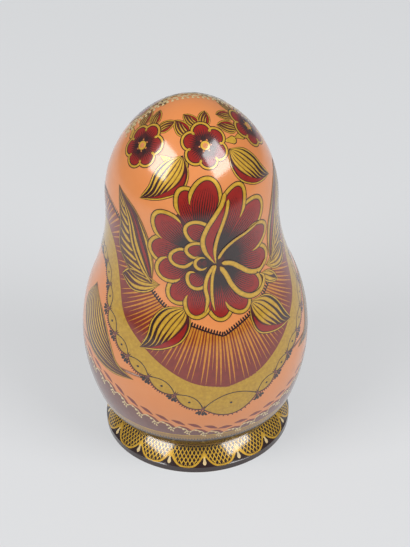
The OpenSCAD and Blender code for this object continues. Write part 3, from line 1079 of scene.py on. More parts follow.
def paint_wreath(brush):
    """Wreath of five flowers round the crown, with gold buds between them and small leaves above, and an arch
    of beads over the crown."""
    for number, height in enumerate(WREATH_Y):
        around = WREATH_START + number * TURN / len(WREATH_Y)
        for turn, rise in WREATH_BUDS:
            brush.place = dome(brush.turning, around + np.radians(turn), height + rise, -0.35)
            brush.drops([(-4.6, 0.0)], [(4.6, 0.0)], 5.2, "soot", 0.02)
            brush.drops([(-4.0, 0.0)], [(4.0, 0.0)], 4.2, "gold", 0.028, True)
        for turn, rise, tilt, size in WREATH_LEAVES:
            brush.place = resized(dome(brush.turning, around + np.radians(turn), height + rise, tilt), size)
            paint_swept_leaf(brush, WREATH_LEAF, 0.04, stripes=3, body="umber", full=0.2)
        brush.place = resized(dome(brush.turning, around, height), WREATH_SIZE)
        paint_small_flower(brush, 0.10)
    paint_crown(brush)


def paint_crown(brush):
    """Arch of cream beads and drops over the crown from ear to ear, with a gold band on the side of the
    face."""
    brush.place = arch(brush.turning, CROWN_LEAN, CROWN_TURN)
    x = np.linspace(-CROWN_REACH, CROWN_REACH, 241)
    brush.gilded(ribbon(level(x, 4.2), 2.4, 4), 0.10)
    path = level(x, 0.9 * np.sin(x * 1.1))
    brush.patch(ribbon(path, 0.9, 1), "cream", 0.106)
    brush.dots(path[4::8] + [0.0, 1.7], 1.1, "cream", 0.112)
    brush.drops(path[::8] - [0.0, 0.6], path[::8] - [0.0, 3.6], 1.7, "cream", 0.112)


# Face on the front: height of its middle on the chart, and half its width and height
FACE_Y = 32.0
FACE_W = 25.0
FACE_H = 30.0
# Right half of its lines, measured from its middle. The outline runs from the chin up to the parting. An eye
# and its lids are measured from the middle of the eye, and the mouth is given whole.
FACE_LINE = (
    (0.0, -29.9), (12.5, -25.9), (20.5, -17.1), (23.9, -8.0), (22.4, 2.0), (17.0, 11.5), (9.0, 17.0),
    (0.0, 19.5),
)
HAIR_TOP = ((0.0, 29.6), (17.0, 21.5), (24.4, 4.0), (23.6, -9.0))
HAIR_LINE = ((0.0, 19.6), (10.0, 16.4), (19.4, 5.0), (23.6, -9.0))
EYE_PLACE = (9.6, 1.5)
EYE_TOP = ((-5.2, -0.4), (-2.0, 2.5), (2.0, 2.5), (5.2, -0.4))
EYE_FOOT = ((-5.2, -0.4), (-2.0, -2.2), (2.0, -2.2), (5.2, -0.4))
LID = ((-5.6, -0.7), (-2.6, 2.5), (1.6, 2.9), (5.6, -0.5))
LOWER_LID = ((-4.6, -1.0), (-1.8, -2.4), (2.0, -2.4), (4.8, -0.9))
BROW = ((4.6, 7.9), (10.1, 10.1), (15.8, 8.1))
NOSTRIL = ((0.4, -9.9), (1.7, -10.7), (2.9, -9.8))
UPPER_LIP = ((5.0, -17.0), (2.0, -15.6), (0.0, -16.2))
LOWER_LIP = ((4.6, -17.2), (2.2, -19.1), (0.0, -19.4))
MOUTH_TOP = ((-4.6, -17.1), (0.0, -16.2), (4.6, -17.1))
MOUTH_FOOT = ((-4.6, -17.1), (0.0, -19.4), (4.6, -17.1))
MOUTH_LINE = ((-4.8, -17.2), (0.0, -17.7), (4.8, -17.2))
CHEEK_PLACE = (13.0, -9.5)
CHEEK_SIZE = (6.4, 5.6)
# Ends of the kerchief's knot, and its drops as top, foot, width, colour and height in the film
KNOT_TOP = ((0.0, -37.0), (9.0, -40.0), (15.0, -49.0), (19.0, -61.0))
KNOT_FOOT = ((0.0, -37.0), (3.0, -45.0), (8.0, -54.0), (19.0, -61.0))
KNOT_DROPS = (
    (-30.5, -43.0, 9.5, "soot", 0.31),
    (-31.4, -42.2, 8.0, "gold", 0.318),
    (-33.8, -41.0, 4.6, "crimson", 0.326),
)


def on_side(points, side):
    """Points of the right side of the face, or mirrored to its left side."""
    return np.asarray(points, float) * [side, 1.0]


def face_oval(grow, count):
    """Oval round the face, larger than it by the given width."""
    return oval(FACE_W + grow, FACE_H + grow, count)


def paint_frame(brush):
    """Edge of the kerchief round the face: an oval with a gold line, cream beads and a dark line."""
    brush.patch(filled(face_oval(6.5, 120), (0.0, 0.0), 30), "salmon", 0.16)
    for grow, width, colour, lift in ((0.3, 1.2, "soot", 0.235), (6.6, 0.8, "maroon", 0.24)):
        brush.patch(ribbon(face_oval(grow, 160), width, 1), colour, lift)
    brush.gilded(ribbon(face_oval(1.3, 160), 1.7, 4), 0.245)
    brush.dots(face_oval(4.4, 44)[:-1], 1.0, "cream", 0.24)


def paint_eye(brush, side):
    """Almond eye with a round iris, a cream dot in it as a painted glint, its lids and a brow."""
    eye = on_side(EYE_PLACE, side)
    brush.patch(Leaf(eye + EYE_TOP, eye + EYE_FOOT).grid(16, 6), "cream", 0.22)
    for radius, colour, lift in ((2.25, "soot", 0.228), (1.95, "iris", 0.234), (1.05, "soot", 0.24)):
        brush.dots([eye + [0.0, 0.1]], radius, colour, lift, sides=24)
    # Painted glint: a cream dot in the eye
    brush.dots([eye + [-0.7, 0.9]], 0.5, "cream", 0.246)
    brush.line(eye + LID, 0.95, "soot", 0.246)
    brush.line(eye + LOWER_LID, 0.4, "hair", 0.24)
    brush.line(on_side(BROW, side), 1.15, "hair", 0.22, ends=(0.4, 0.7))


def paint_face(brush):
    """Calm doll's face framed by hair and by the edge of the kerchief, with a knot under the chin."""
    brush.place = resized(chart(brush.turning, FRONT), 1.0, FACE_Y)
    paint_frame(brush)
    brush.patch(filled(face_oval(0.6, 120), (0.0, 0.0), 30), "hair", 0.18)
    half = np.asarray(FACE_LINE)
    outline = curve_at(np.concatenate([half, on_side(half[-2::-1], -1.0)]), np.linspace(0.0, 1.0, 121))
    brush.patch(filled(outline, (0.0, -5.0), 30), "skin", 0.205)
    for side in (-1.0, 1.0):
        lock = Leaf(on_side(HAIR_TOP, side), on_side(HAIR_LINE, side))
        v = np.linspace(-0.8, 0.8, brush.count(9, 4))[:, None]
        strand = lock.point(np.linspace(0.03, 0.97, 40)[None, :], v)
        brush.patch(ribbon(strand, 0.5 * taper(40, 0.3, 0.4), 1), "bronze", 0.192)
        cheek = on_side(CHEEK_PLACE, side)
        fade = smooth(0.1, 1.0, np.linspace(0.0, 1.0, 10))[:, None]
        disc = filled(oval(*CHEEK_SIZE, 32, cheek), cheek, 10)
        brush.patch(disc, brush.mix("blush", "skin", fade), 0.214)
        paint_eye(brush, side)
        brush.line(on_side(NOSTRIL, side), 0.6, "blush", 0.22)
        for lip in (UPPER_LIP, LOWER_LIP):
            brush.line(on_side(lip, side), 1.3, "crimson", 0.224, ends=(0.7, 0.05))
        paint_swept_leaf(brush, Leaf(on_side(KNOT_TOP, side), on_side(KNOT_FOOT, side)), 0.25, stripes=4)
    brush.patch(Leaf(MOUTH_TOP, MOUTH_FOOT).grid(14, 4), "crimson", 0.22)
    brush.line(MOUTH_LINE, 0.4, "maroon", 0.236)
    for top, foot, width, colour, lift in KNOT_DROPS:
        brush.drops([(0.0, top)], [(0.0, foot)], width, colour, lift, colour == "gold")


# Bouquet on the front: its size against the flower on the back, and its height on the chart
BOUQUET_SCALE = 0.52
BOUQUET_Y = -58.0


def paint_bouquet(brush):
    """Smaller copy of the flower and its leaves on the front of the skirt."""
    brush.place = resized(chart(brush.turning, FRONT), BOUQUET_SCALE, BOUQUET_Y)
    paint_swept_leaf(brush, LOWER_LEFT, 0.12)
    paint_swept_leaf(brush, LOWER_RIGHT.turned(), 0.12)
    for leaf in (TALL_LEFT, TALL_LEFT.mirrored()):
        paint_feather_leaf(brush, leaf, 0.10)
    paint_flower(brush, 0.16)


# Meshes


class Doll:
    """Scale and height of one doll of the set, read from its pieces in the frame."""

    def __init__(self, name):
        outer = name == DOLLS[0]
        self.name = name
        self.outer = outer
        self.solid = name == CORE
        low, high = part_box(name if self.solid else name + "_bottom")
        top = high if self.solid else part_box(name + "_top")[1]
        self.base = low[2]
        self.scale = (top[2] - low[2]) / (cad_high[2] - cad_low[2])
        self.film = FILM if outer else INNER_FILM
        self.cell = CELL if outer else INNER_CELL
        self.least_rows = LEAST_ROWS if outer else INNER_LEAST_ROWS
        self.fine = 1.0 if outer else float(np.clip(FINE_BASE + FINE_GAIN * self.scale, *FINE_RANGE))
        self.slot = {"outer": "lacquered_limewood", CORE: "core_limewood"}.get(name, "inner_limewood")
        self.floor = 0.0
        if not self.solid:
            inner = DOLLS[DOLLS.index(name) + 1]
            inner_low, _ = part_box(inner if inner == CORE else inner + "_bottom")
            self.floor = (inner_low[2] - self.base) / MM - COAT

    def halves(self, turning):
        """Node of each half with the lengths along the profile that it covers."""
        if self.solid:
            return ((self.name, 0.0, turning.top),)
        return ((self.name + "_bottom", 0.0, turning.seam), (self.name + "_top", turning.seam, turning.top))


def around_axis(r, azimuth, z):
    """Places at a radius, an azimuth and a height."""
    return np.stack(np.broadcast_arrays(r * np.sin(azimuth), -r * np.cos(azimuth), z), axis=-1)


def revolved(outline, sides):
    """Line of radius and height carried round the axis: its places, and the quads between them with the same
    place for all corners on the axis."""
    angle = np.linspace(0.0, TURN, sides, endpoint=False)
    co = around_axis(outline[:, :1], angle, outline[:, 1:])
    index = np.arange(len(outline) * sides).reshape(-1, sides)
    poles = outline[:, 0] < TINY
    index[poles] = index[poles, :1]
    ahead = np.roll(index, -1, axis=1)
    quads = np.stack([index[:-1], ahead[:-1], ahead[1:], index[1:]], axis=-1)
    return co.reshape(-1, 3), quads.reshape(-1, 4)


def new_object(name, co, quads, finishes, slots):
    """Object with a smooth mesh of quads from whole arrays. Places that no quad uses are left out, and so is
    a corner that repeats the one before it. Returns the object and the places in use."""
    used, quads = np.unique(quads, return_inverse=True)
    quads = quads.reshape(-1, 4)
    corner = quads != np.roll(quads, 1, axis=1)
    size = corner.sum(axis=1)
    mesh = bpy.data.meshes.new(name)
    mesh.vertices.add(len(used))
    mesh.vertices.foreach_set("co", co[used].astype(np.float32).ravel())
    mesh.loops.add(int(size.sum()))
    mesh.loops.foreach_set("vertex_index", quads[corner].astype(np.int32))
    mesh.polygons.add(len(quads))
    mesh.polygons.foreach_set("loop_start", (np.cumsum(size) - size).astype(np.int32))
    mesh.polygons.foreach_set("material_index", slots.astype(np.int32))
    mesh.polygons.foreach_set("use_smooth", np.ones(len(quads), bool))
    for finish in finishes:
        mesh.materials.append(bpy.data.materials[finish])
    mesh.update(calc_edges=True)
    made = bpy.data.objects.new(name, mesh)
    bpy.context.scene.collection.objects.link(made)
    return made, used


def set_paint(mesh, colours):
    """Keeps a colour for each vertex in the attribute that the paint materials read."""
    paint = mesh.attributes.new("paint", "FLOAT_COLOR", "POINT")
    rgba = np.ones((len(colours), 4), np.float32)
    rgba[:, :3] = colours
    paint.data.foreach_set("color", rgba.ravel())


def set_chart(mesh, u, v):
    """Keeps the flat chart of the surface as a UV map named OFBake."""
    layer = mesh.uv_layers.new(name="OFBake")
    layer.data.foreach_set("uv", np.stack([u, v], axis=-1).astype(np.float32).ravel())


def joined(patches):
    """All patches as one: azimuth, length along the profile, height in the film and colour of each place, and
    of each quad whether it is gold and its corners."""
    parts = []
    count = 0
    for azimuth, along, colour, lift, gold in patches:
        index = count + np.arange(azimuth.size).reshape(azimuth.shape)
        corners = (index[:, :-1, :-1], index[:, :-1, 1:], index[:, 1:, 1:], index[:, 1:, :-1])
        quads = np.stack(corners, axis=-1).reshape(-1, 4)
        lifts, golds = np.full(azimuth.size, lift), np.full(len(quads), gold)
        parts.append((azimuth.ravel(), along.ravel(), lifts, colour.reshape(-1, 3), golds, quads))
        count += azimuth.size
    return tuple(np.concatenate(values) for values in zip(*parts))


def lay_painting(name, brush, doll, node, low, high):
    """Puts a brush's patches on one half of a doll: each place goes out along the profile's normal to its
    height in the film, and what lies beyond the half is left out."""
    azimuth, along, lift, paint, gold, quads = joined(brush.patches)
    within = (along > low) & (along < high)
    along = np.clip(along, low, high)
    r, z, nr, nz = brush.turning.at(along)
    flat = np.stack([azimuth * np.maximum(r, AXIS_R), along], axis=-1)[quads]
    one, two = flat[:, 2] - flat[:, 0], flat[:, 3] - flat[:, 1]
    area = one[:, 0] * two[:, 1] - one[:, 1] * two[:, 0]
    keep = within[quads].any(axis=1) & (np.abs(area) > LEAST_AREA)
    if not keep.any():
        return
    quads = np.where((area < 0.0)[:, None], quads[:, ::-1], quads)[keep]
    out = (lift - FILM) * doll.film / FILM
    co = around_axis((r + nr * out) * doll.scale, azimuth, (z + nz * out) * doll.scale) * MM
    co[:, 2] += doll.base
    piece, used = new_object(name, co, quads, ("lacquered_colour", "lacquered_gold"), gold[keep])
    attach(piece, node)
    set_paint(piece.data, paint[used])
    turn = azimuth[quads] / TURN
    turn -= np.floor(turn.mean(axis=1))[:, None]
    set_chart(piece.data, turn.ravel(), ((along - low) / (high - low))[quads].ravel())
    piece.data.normals_split_custom_set_from_vertices(around_axis(nr, azimuth, nz)[used])


def paint_on(context, doll, parts):
    """Paints motifs on a doll as one piece for each half. Each part is a name and the functions that paint
    it."""
    turning, palette = tools_of(context)
    for name, painters in parts:
        brush = Brush(turning, palette, doll)
        for painter in painters:
            brush.place = chart(turning, BACK)
            painter(brush)
        for node, low, high in doll.halves(turning):
            lay_painting(f"{node}_{name}", brush, doll, node, low, high)


# Length along the profile where the dark foot of the doll ends and the salmon ground begins, and half the
# width of that change. The dark foot is black paint on the plinth and painted shade on the hip tucked under
# the belly.
GROUND_LINE = CHART_ZERO - 107.5
GROUND_EDGE = 0.01
# The ground is umber, darker than the salmon, this far on both sides of the seam
SEAM_SHADE = 0.3
# Small chamfer at the seam and collar, how much larger it is at the foot, and the angle from which an edge
# stays sharp
CHAMFER = 0.12
FOOT_CHAMFER = 1.5
SHARP = np.radians(34.0)
# Length of the profile from ring to ring on the outer doll and inside, and sides of a ring, which come in
# groups of this many inside
OUTER_STEP, INNER_STEP = 1.4, 2.3
OUTER_SIDES, INNER_SIDES, LEAST_SIDES, SIDE_GROUP = 256, 184, 72, 8
# Rings of the hollow: in the mouth, below it, on the floor and in the upper half
MOUTH_RINGS, HOLLOW_RINGS, FLOOR_RINGS, DOME_RINGS = 8, 40, 8, 48


class Shells:
    """Half sections of one doll's shells in millimetres at its own scale. Each is a line of radius and height
    from the axis back to the axis, with the places that stay bare and the length along the profile that sets
    each place's ground."""

    def __init__(self, turning, doll):
        z, s = turning.sizes, doll.scale
        self.turning = turning
        self.doll = doll
        self.chamfer = CHAMFER * s
        self.foot = FOOT_CHAMFER * self.chamfer
        self.seam = z["seam_z"] * s
        self.belly = z["belly_z"] * s
        girth = float(turning.at(turning.seam)[0]) * s
        self.seam_r = girth - doll.film * s
        self.collar_r = girth - max(z["shoulder_w"] * s, z["least_lip"])
        self.mouth_r = self.collar_r - max(z["collar_t"] * s, z["least_lip"])
        self.collar_z = self.seam + max(z["collar_h"] * s, z["least_collar_h"])
        self.socket_r = self.collar_r + z["collar_gap"]
        self.socket_z = self.collar_z + z["socket_gap"]
        r, h = turning.inside(max(z["wall"] * s, z["least_wall"]) / s)
        self.hollow = np.stack([r, h], axis=1)[np.argsort(h)] * s

    def outside(self, low, high):
        """Wood under the paint between two lengths along the profile, and those lengths."""
        turning, doll = self.turning, self.doll
        steps = int((high - low) / (OUTER_STEP if doll.outer else INNER_STEP))
        waist = np.interp(turning.sizes["waist_z"], turning.z, turning.s)
        corners = [turning.sizes["rim_h"], waist, GROUND_LINE - GROUND_EDGE, GROUND_LINE + GROUND_EDGE]
        marks = np.r_[np.linspace(low, high, steps), corners]
        marks = np.unique(marks[(marks >= low) & (marks <= high)])
        r, h, nr, nz = turning.at(marks)
        return np.stack([r - doll.film * nr, h - doll.film * nz], axis=1) * doll.scale, marks

    def underside(self, rim_r):
        """Foot from the axis out to its rim, with the chamfer there."""
        return [(0.0, 0.0), (rim_r - self.foot, 0.0), (rim_r, self.foot)]

    def whole(self):
        """Solid doll: the outside on its foot."""
        body, marks = self.outside(0.0, self.turning.top)
        above = body[:, 1] > self.foot
        outline = np.vstack([self.underside(body[0, 0]), body[above]])
        outline[-1, 0] = 0.0
        return outline, np.arange(len(outline)) < 2, np.r_[np.zeros(3), marks[above]]

    def bottom(self):
        """Lower half: the outside up to the seam, the shoulder, the collar, the hollow and the floor."""
        body, marks = self.outside(0.0, self.turning.seam)
        picked = (body[:, 1] > self.foot) & (body[:, 1] < self.seam - self.chamfer)
        edge, seam, tall, floor = self.chamfer, self.seam, self.collar_z, self.doll.floor
        mouth_z = np.linspace(tall - edge, self.belly, MOUTH_RINGS)
        hollow_z = np.r_[mouth_z, np.linspace(self.belly, floor, HOLLOW_RINGS)[1:]]
        hollow_r = np.interp(hollow_z, self.hollow[:, 1], self.hollow[:, 0])
        hollow_r[:MOUTH_RINGS] = np.maximum(hollow_r[:MOUTH_RINGS], self.mouth_r)
        outline = np.vstack([
            self.underside(body[0, 0]),
            body[picked],
            [(self.seam_r, seam - edge), (self.seam_r - edge, seam), (self.collar_r, seam)],
            [(self.collar_r, tall - edge), (self.collar_r - edge, tall), (self.mouth_r + edge, tall)],
            level(hollow_r, hollow_z),
            level(np.linspace(hollow_r[-1], 0.0, FLOOR_RINGS)[1:], floor),
        ])
        lengths = np.r_[np.zeros(3), marks[picked]]
        along = np.full(len(outline), self.turning.seam)
        along[:len(lengths)] = lengths
        place = np.arange(len(outline))
        return outline, (place < 2) | (place >= len(lengths) + 2), along

    def top(self):
        """Upper half: the hollow down to the socket, the seam and the outside up to the crown."""
        body, marks = self.outside(self.turning.seam, self.turning.top)
        picked = body[:, 1] > self.seam + self.chamfer
        body, marks = body[picked][::-1], marks[picked][::-1]
        body[0, 0] = 0.0
        edge, seam = self.chamfer, self.seam
        wall = self.hollow[self.hollow[:, 1] >= self.socket_z]
        run = np.r_[0.0, np.cumsum(np.linalg.norm(np.diff(wall, axis=0), axis=1))]
        picks = np.linspace(0.0, run[-1], DOME_RINGS)
        inner = np.stack([np.interp(picks, run, values) for values in wall.T], axis=1)
        inner[-1, 0] = 0.0
        outline = np.vstack([
            body,
            [(self.seam_r, seam + edge), (self.seam_r - edge, seam), (self.socket_r + edge, seam)],
            [(self.socket_r, seam + edge), (self.socket_r, self.socket_z)],
            inner,
        ])
        along = np.full(len(outline), self.turning.seam)
        along[:len(body)] = marks
        bare = np.arange(len(outline)) >= len(body) + 2
        return outline[::-1], bare[::-1], along[::-1]


def turn_shell(context, doll, node, section):
    """Turns one shell: its half section carried round the axis."""
    turning, palette = tools_of(context)
    outline, bare, along = section
    sides = int(INNER_SIDES * doll.scale) // SIDE_GROUP * SIDE_GROUP
    sides = OUTER_SIDES if doll.outer else max(LEAST_SIDES, sides)
    co, quads = revolved(outline, sides)
    co *= MM
    co[:, 2] += doll.base
    wood = np.repeat(bare[:-1] | bare[1:], sides)
    piece, used = new_object(f"{node}_wood", co, quads, ("lacquered_ground", "bare_limewood"), wood)
    piece.data.set_sharp_from_angle(angle=SHARP)
    # Soot below the ground line: black paint on the plinth, and painted shade on the hip under the belly
    ground = np.where((along > GROUND_LINE)[:, None], palette["salmon"], palette["soot"])
    # Umber ground on both sides of the seam, which darkens the chamfer there
    ground[np.abs(along - turning.seam) < SEAM_SHADE] = palette["umber"]
    set_paint(piece.data, np.repeat(ground, sides, axis=0)[used])
    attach(piece, node)
    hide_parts(node)


# Materials

# Clear lacquer over the paint, and how much its gloss varies
LACQUER = {"Specular IOR Level": 0.15, "Coat Weight": 1.0, "Coat Roughness": 0.12, "Coat IOR": 1.7}
GLOSS_SPREAD = 0.12
# Paints under it: amount and fineness of the mottling, the shade it goes to, the gloss and what is metal
PAINTS = {
    "lacquered_ground": {"mottle": 0.55, "grain": 28.0, "gloss": 0.30, "shade": (0.985, 0.90, 0.70)},
    "lacquered_colour": {"mottle": 0.5, "grain": 420.0, "gloss": 0.30, "shade": (0.72, 0.66, 0.66)},
    "lacquered_gold": {
        "mottle": 0.75, "grain": 520.0, "gloss": 0.34, "shade": (0.84, 0.78, 0.62), "metallic": 0.25,
    },
}


# Floor as the camera and reflections see it: share of its colour that glows, and share that takes light and
# shadow
FLOOR_GLOW = 0.66
FLOOR_SHADE = 0.38
FLOOR_ROUGHNESS = 0.85
# Radii in metres between which the floor's colour darkens away from the doll, a painted pool of light round
# it, and what is left of its colour beyond
LIGHT_POOL_R = 0.60
POOL_FADE_R = 2.2
POOL_FADE_SHADE = 0.30


def node(tree, kind, place, inputs=None, **settings):
    """Adds a shader node with its settings and the values of its inputs."""
    made = tree.nodes.new(kind)
    made.location = place
    for name, value in settings.items():
        setattr(made, name, value)
    for name, value in (inputs or {}).items():
        made.inputs[name].default_value = value
    return made


def wire(tree, links):
    """Links nodes: each link is a node and its output, then a node and its input."""
    for source, output, target, entry in links:
        tree.links.new(source.outputs[output], target.inputs[entry])


def socket(group, name, way, kind, default=None):
    """Adds an input or output to a node group."""
    made = group.interface.new_socket(name=name, in_out=way, socket_type=kind)
    if default is not None:
        made.default_value = default


def lacquer_film():
    """Group for lacquered paint: a colour with brushed mottling, a slightly uneven gloss and a surface that
    is not quite level."""
    name = "lacquer_film"
    if name in bpy.data.node_groups:
        return bpy.data.node_groups[name]
    group = bpy.data.node_groups.new(name, "ShaderNodeTree")
    socket(group, "Colour", "INPUT", "NodeSocketColor", (0.8, 0.8, 0.8, 1.0))
    socket(group, "Shade", "INPUT", "NodeSocketColor", (0.5, 0.5, 0.5, 1.0))
    socket(group, "Mottle", "INPUT", "NodeSocketFloat", 0.3)
    socket(group, "Grain", "INPUT", "NodeSocketFloat", 300.0)
    socket(group, "Gloss", "INPUT", "NodeSocketFloat", 0.35)
    socket(group, "Colour", "OUTPUT", "NodeSocketColor")
    socket(group, "Roughness", "OUTPUT", "NodeSocketFloat")
    socket(group, "Normal", "OUTPUT", "NodeSocketVector")
    given = node(group, "NodeGroupInput", (-900, 0))
    result = node(group, "NodeGroupOutput", (500, 0))
    where = node(group, "ShaderNodeTexCoord", (-900, -300))
    mottling = node(group, "ShaderNodeTexNoise", (-600, 200), {"Detail": 5.0, "Roughness": 0.6})
    amount = node(group, "ShaderNodeMath", (-350, 200), operation="MULTIPLY")
    spread = node(group, "ShaderNodeMapRange", (-480, 60), {"From Min": 0.3, "From Max": 0.7})
    tinted = node(group, "ShaderNodeMix", (-100, 200), data_type="RGBA", blend_type="MULTIPLY")
    uneven = node(group, "ShaderNodeTexNoise", (-600, -200), {"Scale": 45.0, "Detail": 2.0})
    gloss = node(group, "ShaderNodeMath", (-100, -100), {1: GLOSS_SPREAD}, operation="MULTIPLY_ADD")
    waves = node(group, "ShaderNodeTexNoise", (-600, -480), {"Scale": 90.0, "Detail": 1.0})
    bump = node(group, "ShaderNodeBump", (-100, -420), {"Strength": 0.03, "Distance": 0.0004})
    wire(group, (
        (where, "Object", mottling, "Vector"),
        (where, "Object", uneven, "Vector"),
        (where, "Object", waves, "Vector"),
        (given, "Grain", mottling, "Scale"),
        (mottling, "Fac", spread, "Value"),
        (spread, "Result", amount, 0),
        (given, "Mottle", amount, 1),
        (amount, 0, tinted, "Factor"),
        (given, "Colour", tinted, "A"),
        (given, "Shade", tinted, "B"),
        (uneven, "Fac", gloss, 0),
        (given, "Gloss", gloss, 2),
        (waves, "Fac", bump, "Height"),
        (tinted, "Result", result, "Colour"),
        (gloss, 0, result, "Roughness"),
        (bump, "Normal", result, "Normal"),
    ))
    return group


def new_material(name, inputs):
    """Material with its shader and output in an otherwise empty tree, and values for the shader."""
    made = bpy.data.materials.new(name)
    made.use_nodes = True
    tree = made.node_tree
    tree.nodes.clear()
    shader = node(tree, "ShaderNodeBsdfPrincipled", (300, 0), inputs)
    output = node(tree, "ShaderNodeOutputMaterial", (600, 0))
    wire(tree, ((shader, "BSDF", output, "Surface"),))
    return tree, shader


def lacquered(name, mottle, grain, gloss, shade, metallic=0.0):
    """Painted finish under clear lacquer: its colour comes from the paint attribute."""
    tree, shader = new_material(name, {**LACQUER, "Metallic": metallic})
    paint = node(tree, "ShaderNodeAttribute", (-400, 0), attribute_name="paint")
    film = node(tree, "ShaderNodeGroup", (-100, 0), node_tree=lacquer_film())
    values = {"Mottle": mottle, "Grain": grain, "Gloss": gloss, "Shade": (*linear(shade), 1.0)}
    for entry, value in values.items():
        film.inputs[entry].default_value = value
    wire(tree, (
        (paint, "Color", film, "Colour"),
        (film, "Colour", shader, "Base Color"),
        (film, "Roughness", shader, "Roughness"),
        (film, "Normal", shader, "Normal"),
    ))


def ramp(tree, place, first, second):
    """Adds a colour ramp between two positions with their colours."""
    made = node(tree, "ShaderNodeValToRGB", place)
    for element, (position, colour) in zip(made.color_ramp.elements, (first, second)):
        element.position = position
        element.color = (*colour, 1.0)
    return made


def bare_wood(name, colour):
    """Turned limewood without finish: fine grain along the axis, faint clouds and shallow tool marks."""
    tree, shader = new_material(name, {})
    where = node(tree, "ShaderNodeTexCoord", (-1100, 0))
    along = node(tree, "ShaderNodeMapping", (-900, 100), {"Scale": (700.0, 700.0, 45.0)})
    grain = node(tree, "ShaderNodeTexNoise", (-700, 100), {"Scale": 1.0, "Detail": 4.0, "Roughness": 0.55})
    cloud = node(tree, "ShaderNodeTexNoise", (-700, -100), {"Scale": 25.0, "Detail": 3.0})
    lathe = node(tree, "ShaderNodeTexWave", (-700, -320), {"Scale": 420.0, "Distortion": 0.6, "Detail": 1.0},
                 wave_type="BANDS", bands_direction="Z")
    tone = ramp(tree, (-450, 100), (0.25, colour * 0.62), (0.75, np.minimum(colour * 1.08, 1.0)))
    both = node(tree, "ShaderNodeMix", (-560, 0), {"Factor": 0.4})
    rough = node(tree, "ShaderNodeMapRange", (-450, -150), {"To Min": 0.55, "To Max": 0.75})
    marks = node(tree, "ShaderNodeBump", (-100, -300), {"Strength": 0.25, "Distance": 0.0002})
    wire(tree, (
        (where, "Object", along, "Vector"),
        (along, "Vector", grain, "Vector"),
        (where, "Object", cloud, "Vector"),
        (where, "Object", lathe, "Vector"),
        (grain, "Fac", both, "A"),
        (cloud, "Fac", both, "B"),
        (both, "Result", tone, "Fac"),
        (tone, "Color", shader, "Base Color"),
        (grain, "Fac", rough, "Value"),
        (rough, "Result", shader, "Roughness"),
        (lathe, "Fac", marks, "Height"),
        (marks, "Normal", shader, "Normal"),
    ))


def studio_floor(name, colour):
    """Matt pale paper whose colour darkens away from the doll, a painted pool of light round it. What sees it
    directly, or in a reflection, sees it lit evenly, with a softened shadow."""
    tree, shader = new_material(name, {"Roughness": FLOOR_ROUGHNESS})
    where = node(tree, "ShaderNodeTexCoord", (-900, 0))
    away = node(tree, "ShaderNodeVectorMath", (-860, -160), operation="LENGTH")
    far = node(tree, "ShaderNodeMapRange", (-700, 0), {"From Min": LIGHT_POOL_R, "From Max": POOL_FADE_R},
               interpolation_type="SMOOTHSTEP")
    # Painted pool of light: the floor's colour darkens with distance from the doll
    tone = ramp(tree, (-500, 0), (0.0, colour), (1.0, colour * POOL_FADE_SHADE))
    seen = node(tree, "ShaderNodeLightPath", (-700, -400))
    glossy = node(tree, "ShaderNodeMath", (-500, -400), operation="ADD")
    through = node(tree, "ShaderNodeMath", (-330, -400), operation="ADD")
    glow = node(tree, "ShaderNodeMath", (-100, -400), {1: FLOOR_GLOW}, operation="MULTIPLY")
    shaded = node(tree, "ShaderNodeMix", (-100, 0), data_type="RGBA")
    shaded.inputs["B"].default_value = (*(colour * FLOOR_SHADE), 1.0)
    wire(tree, (
        (where, "Object", away, 0),
        (away, "Value", far, "Value"),
        (far, "Result", tone, "Fac"),
        (seen, "Is Camera Ray", glossy, 0),
        (seen, "Is Glossy Ray", glossy, 1),
        (glossy, 0, through, 0),
        (seen, "Is Transmission Ray", through, 1),
        (through, 0, glow, 0),
        (through, 0, shaded, "Factor"),
        (tone, "Color", shaded, "A"),
        (shaded, "Result", shader, "Base Color"),
        (tone, "Color", shader, "Emission Color"),
        (glow, 0, shader, "Emission Strength"),
    ))


def tools_of(context):
    """Turned profile and palette from the settings of the scene."""
    scene = context.scene
    return Turning(in_mm(scene.doll_sizes)), palette_of(scene.doll_colours)


# Operators


class MixFinishes(bpy.types.Operator):
    """Mixes the lacquered paints, the gold and the bare limewood"""

    bl_idname = "nesting.mix_finishes"
    bl_label = "Mix finishes"

    def execute(self, context):
        palette = palette_of(context.scene.doll_colours)
        for name, values in PAINTS.items():
            lacquered(name, **values)
        bare_wood("bare_limewood", palette["limewood"])
        return {"FINISHED"}


class TurnShells(bpy.types.Operator):
    """Turns the two shells of each hollow doll and the solid doll in the middle"""

    bl_idname = "nesting.turn_shells"
    bl_label = "Turn shells"

    def execute(self, context):
        turning, _ = tools_of(context)
        for name in DOLLS:
            doll = Doll(name)
            shells = Shells(turning, doll)
            if doll.solid:
                turn_shell(context, doll, name, shells.whole())
                continue
            turn_shell(context, doll, name + "_bottom", shells.bottom())
            turn_shell(context, doll, name + "_top", shells.top())
        return {"FINISHED"}


class PaintShawl(bpy.types.Operator):
    """Paints the rayed shawl with its gold band and lace on the outer doll"""

    bl_idname = "nesting.paint_shawl"
    bl_label = "Paint shawl"

    def execute(self, context):
        paint_on(context, Doll("outer"), (("shawl", (paint_shawl,)),))
        return {"FINISHED"}


class PaintFlower(bpy.types.Operator):
    """Paints the large flower and its leaves on the outer doll"""

    bl_idname = "nesting.paint_flower"
    bl_label = "Paint flower and leaves"

    def execute(self, context):
        paint_on(context, Doll("outer"), (("leaves", (paint_leaves,)), ("flower", (paint_flower,))))
        return {"FINISHED"}


class PaintWreath(bpy.types.Operator):
    """Paints the wreath round the crown of the outer doll"""

    bl_idname = "nesting.paint_wreath"
    bl_label = "Paint wreath"

    def execute(self, context):
        paint_on(context, Doll("outer"), (("wreath", (paint_wreath,)),))
        return {"FINISHED"}


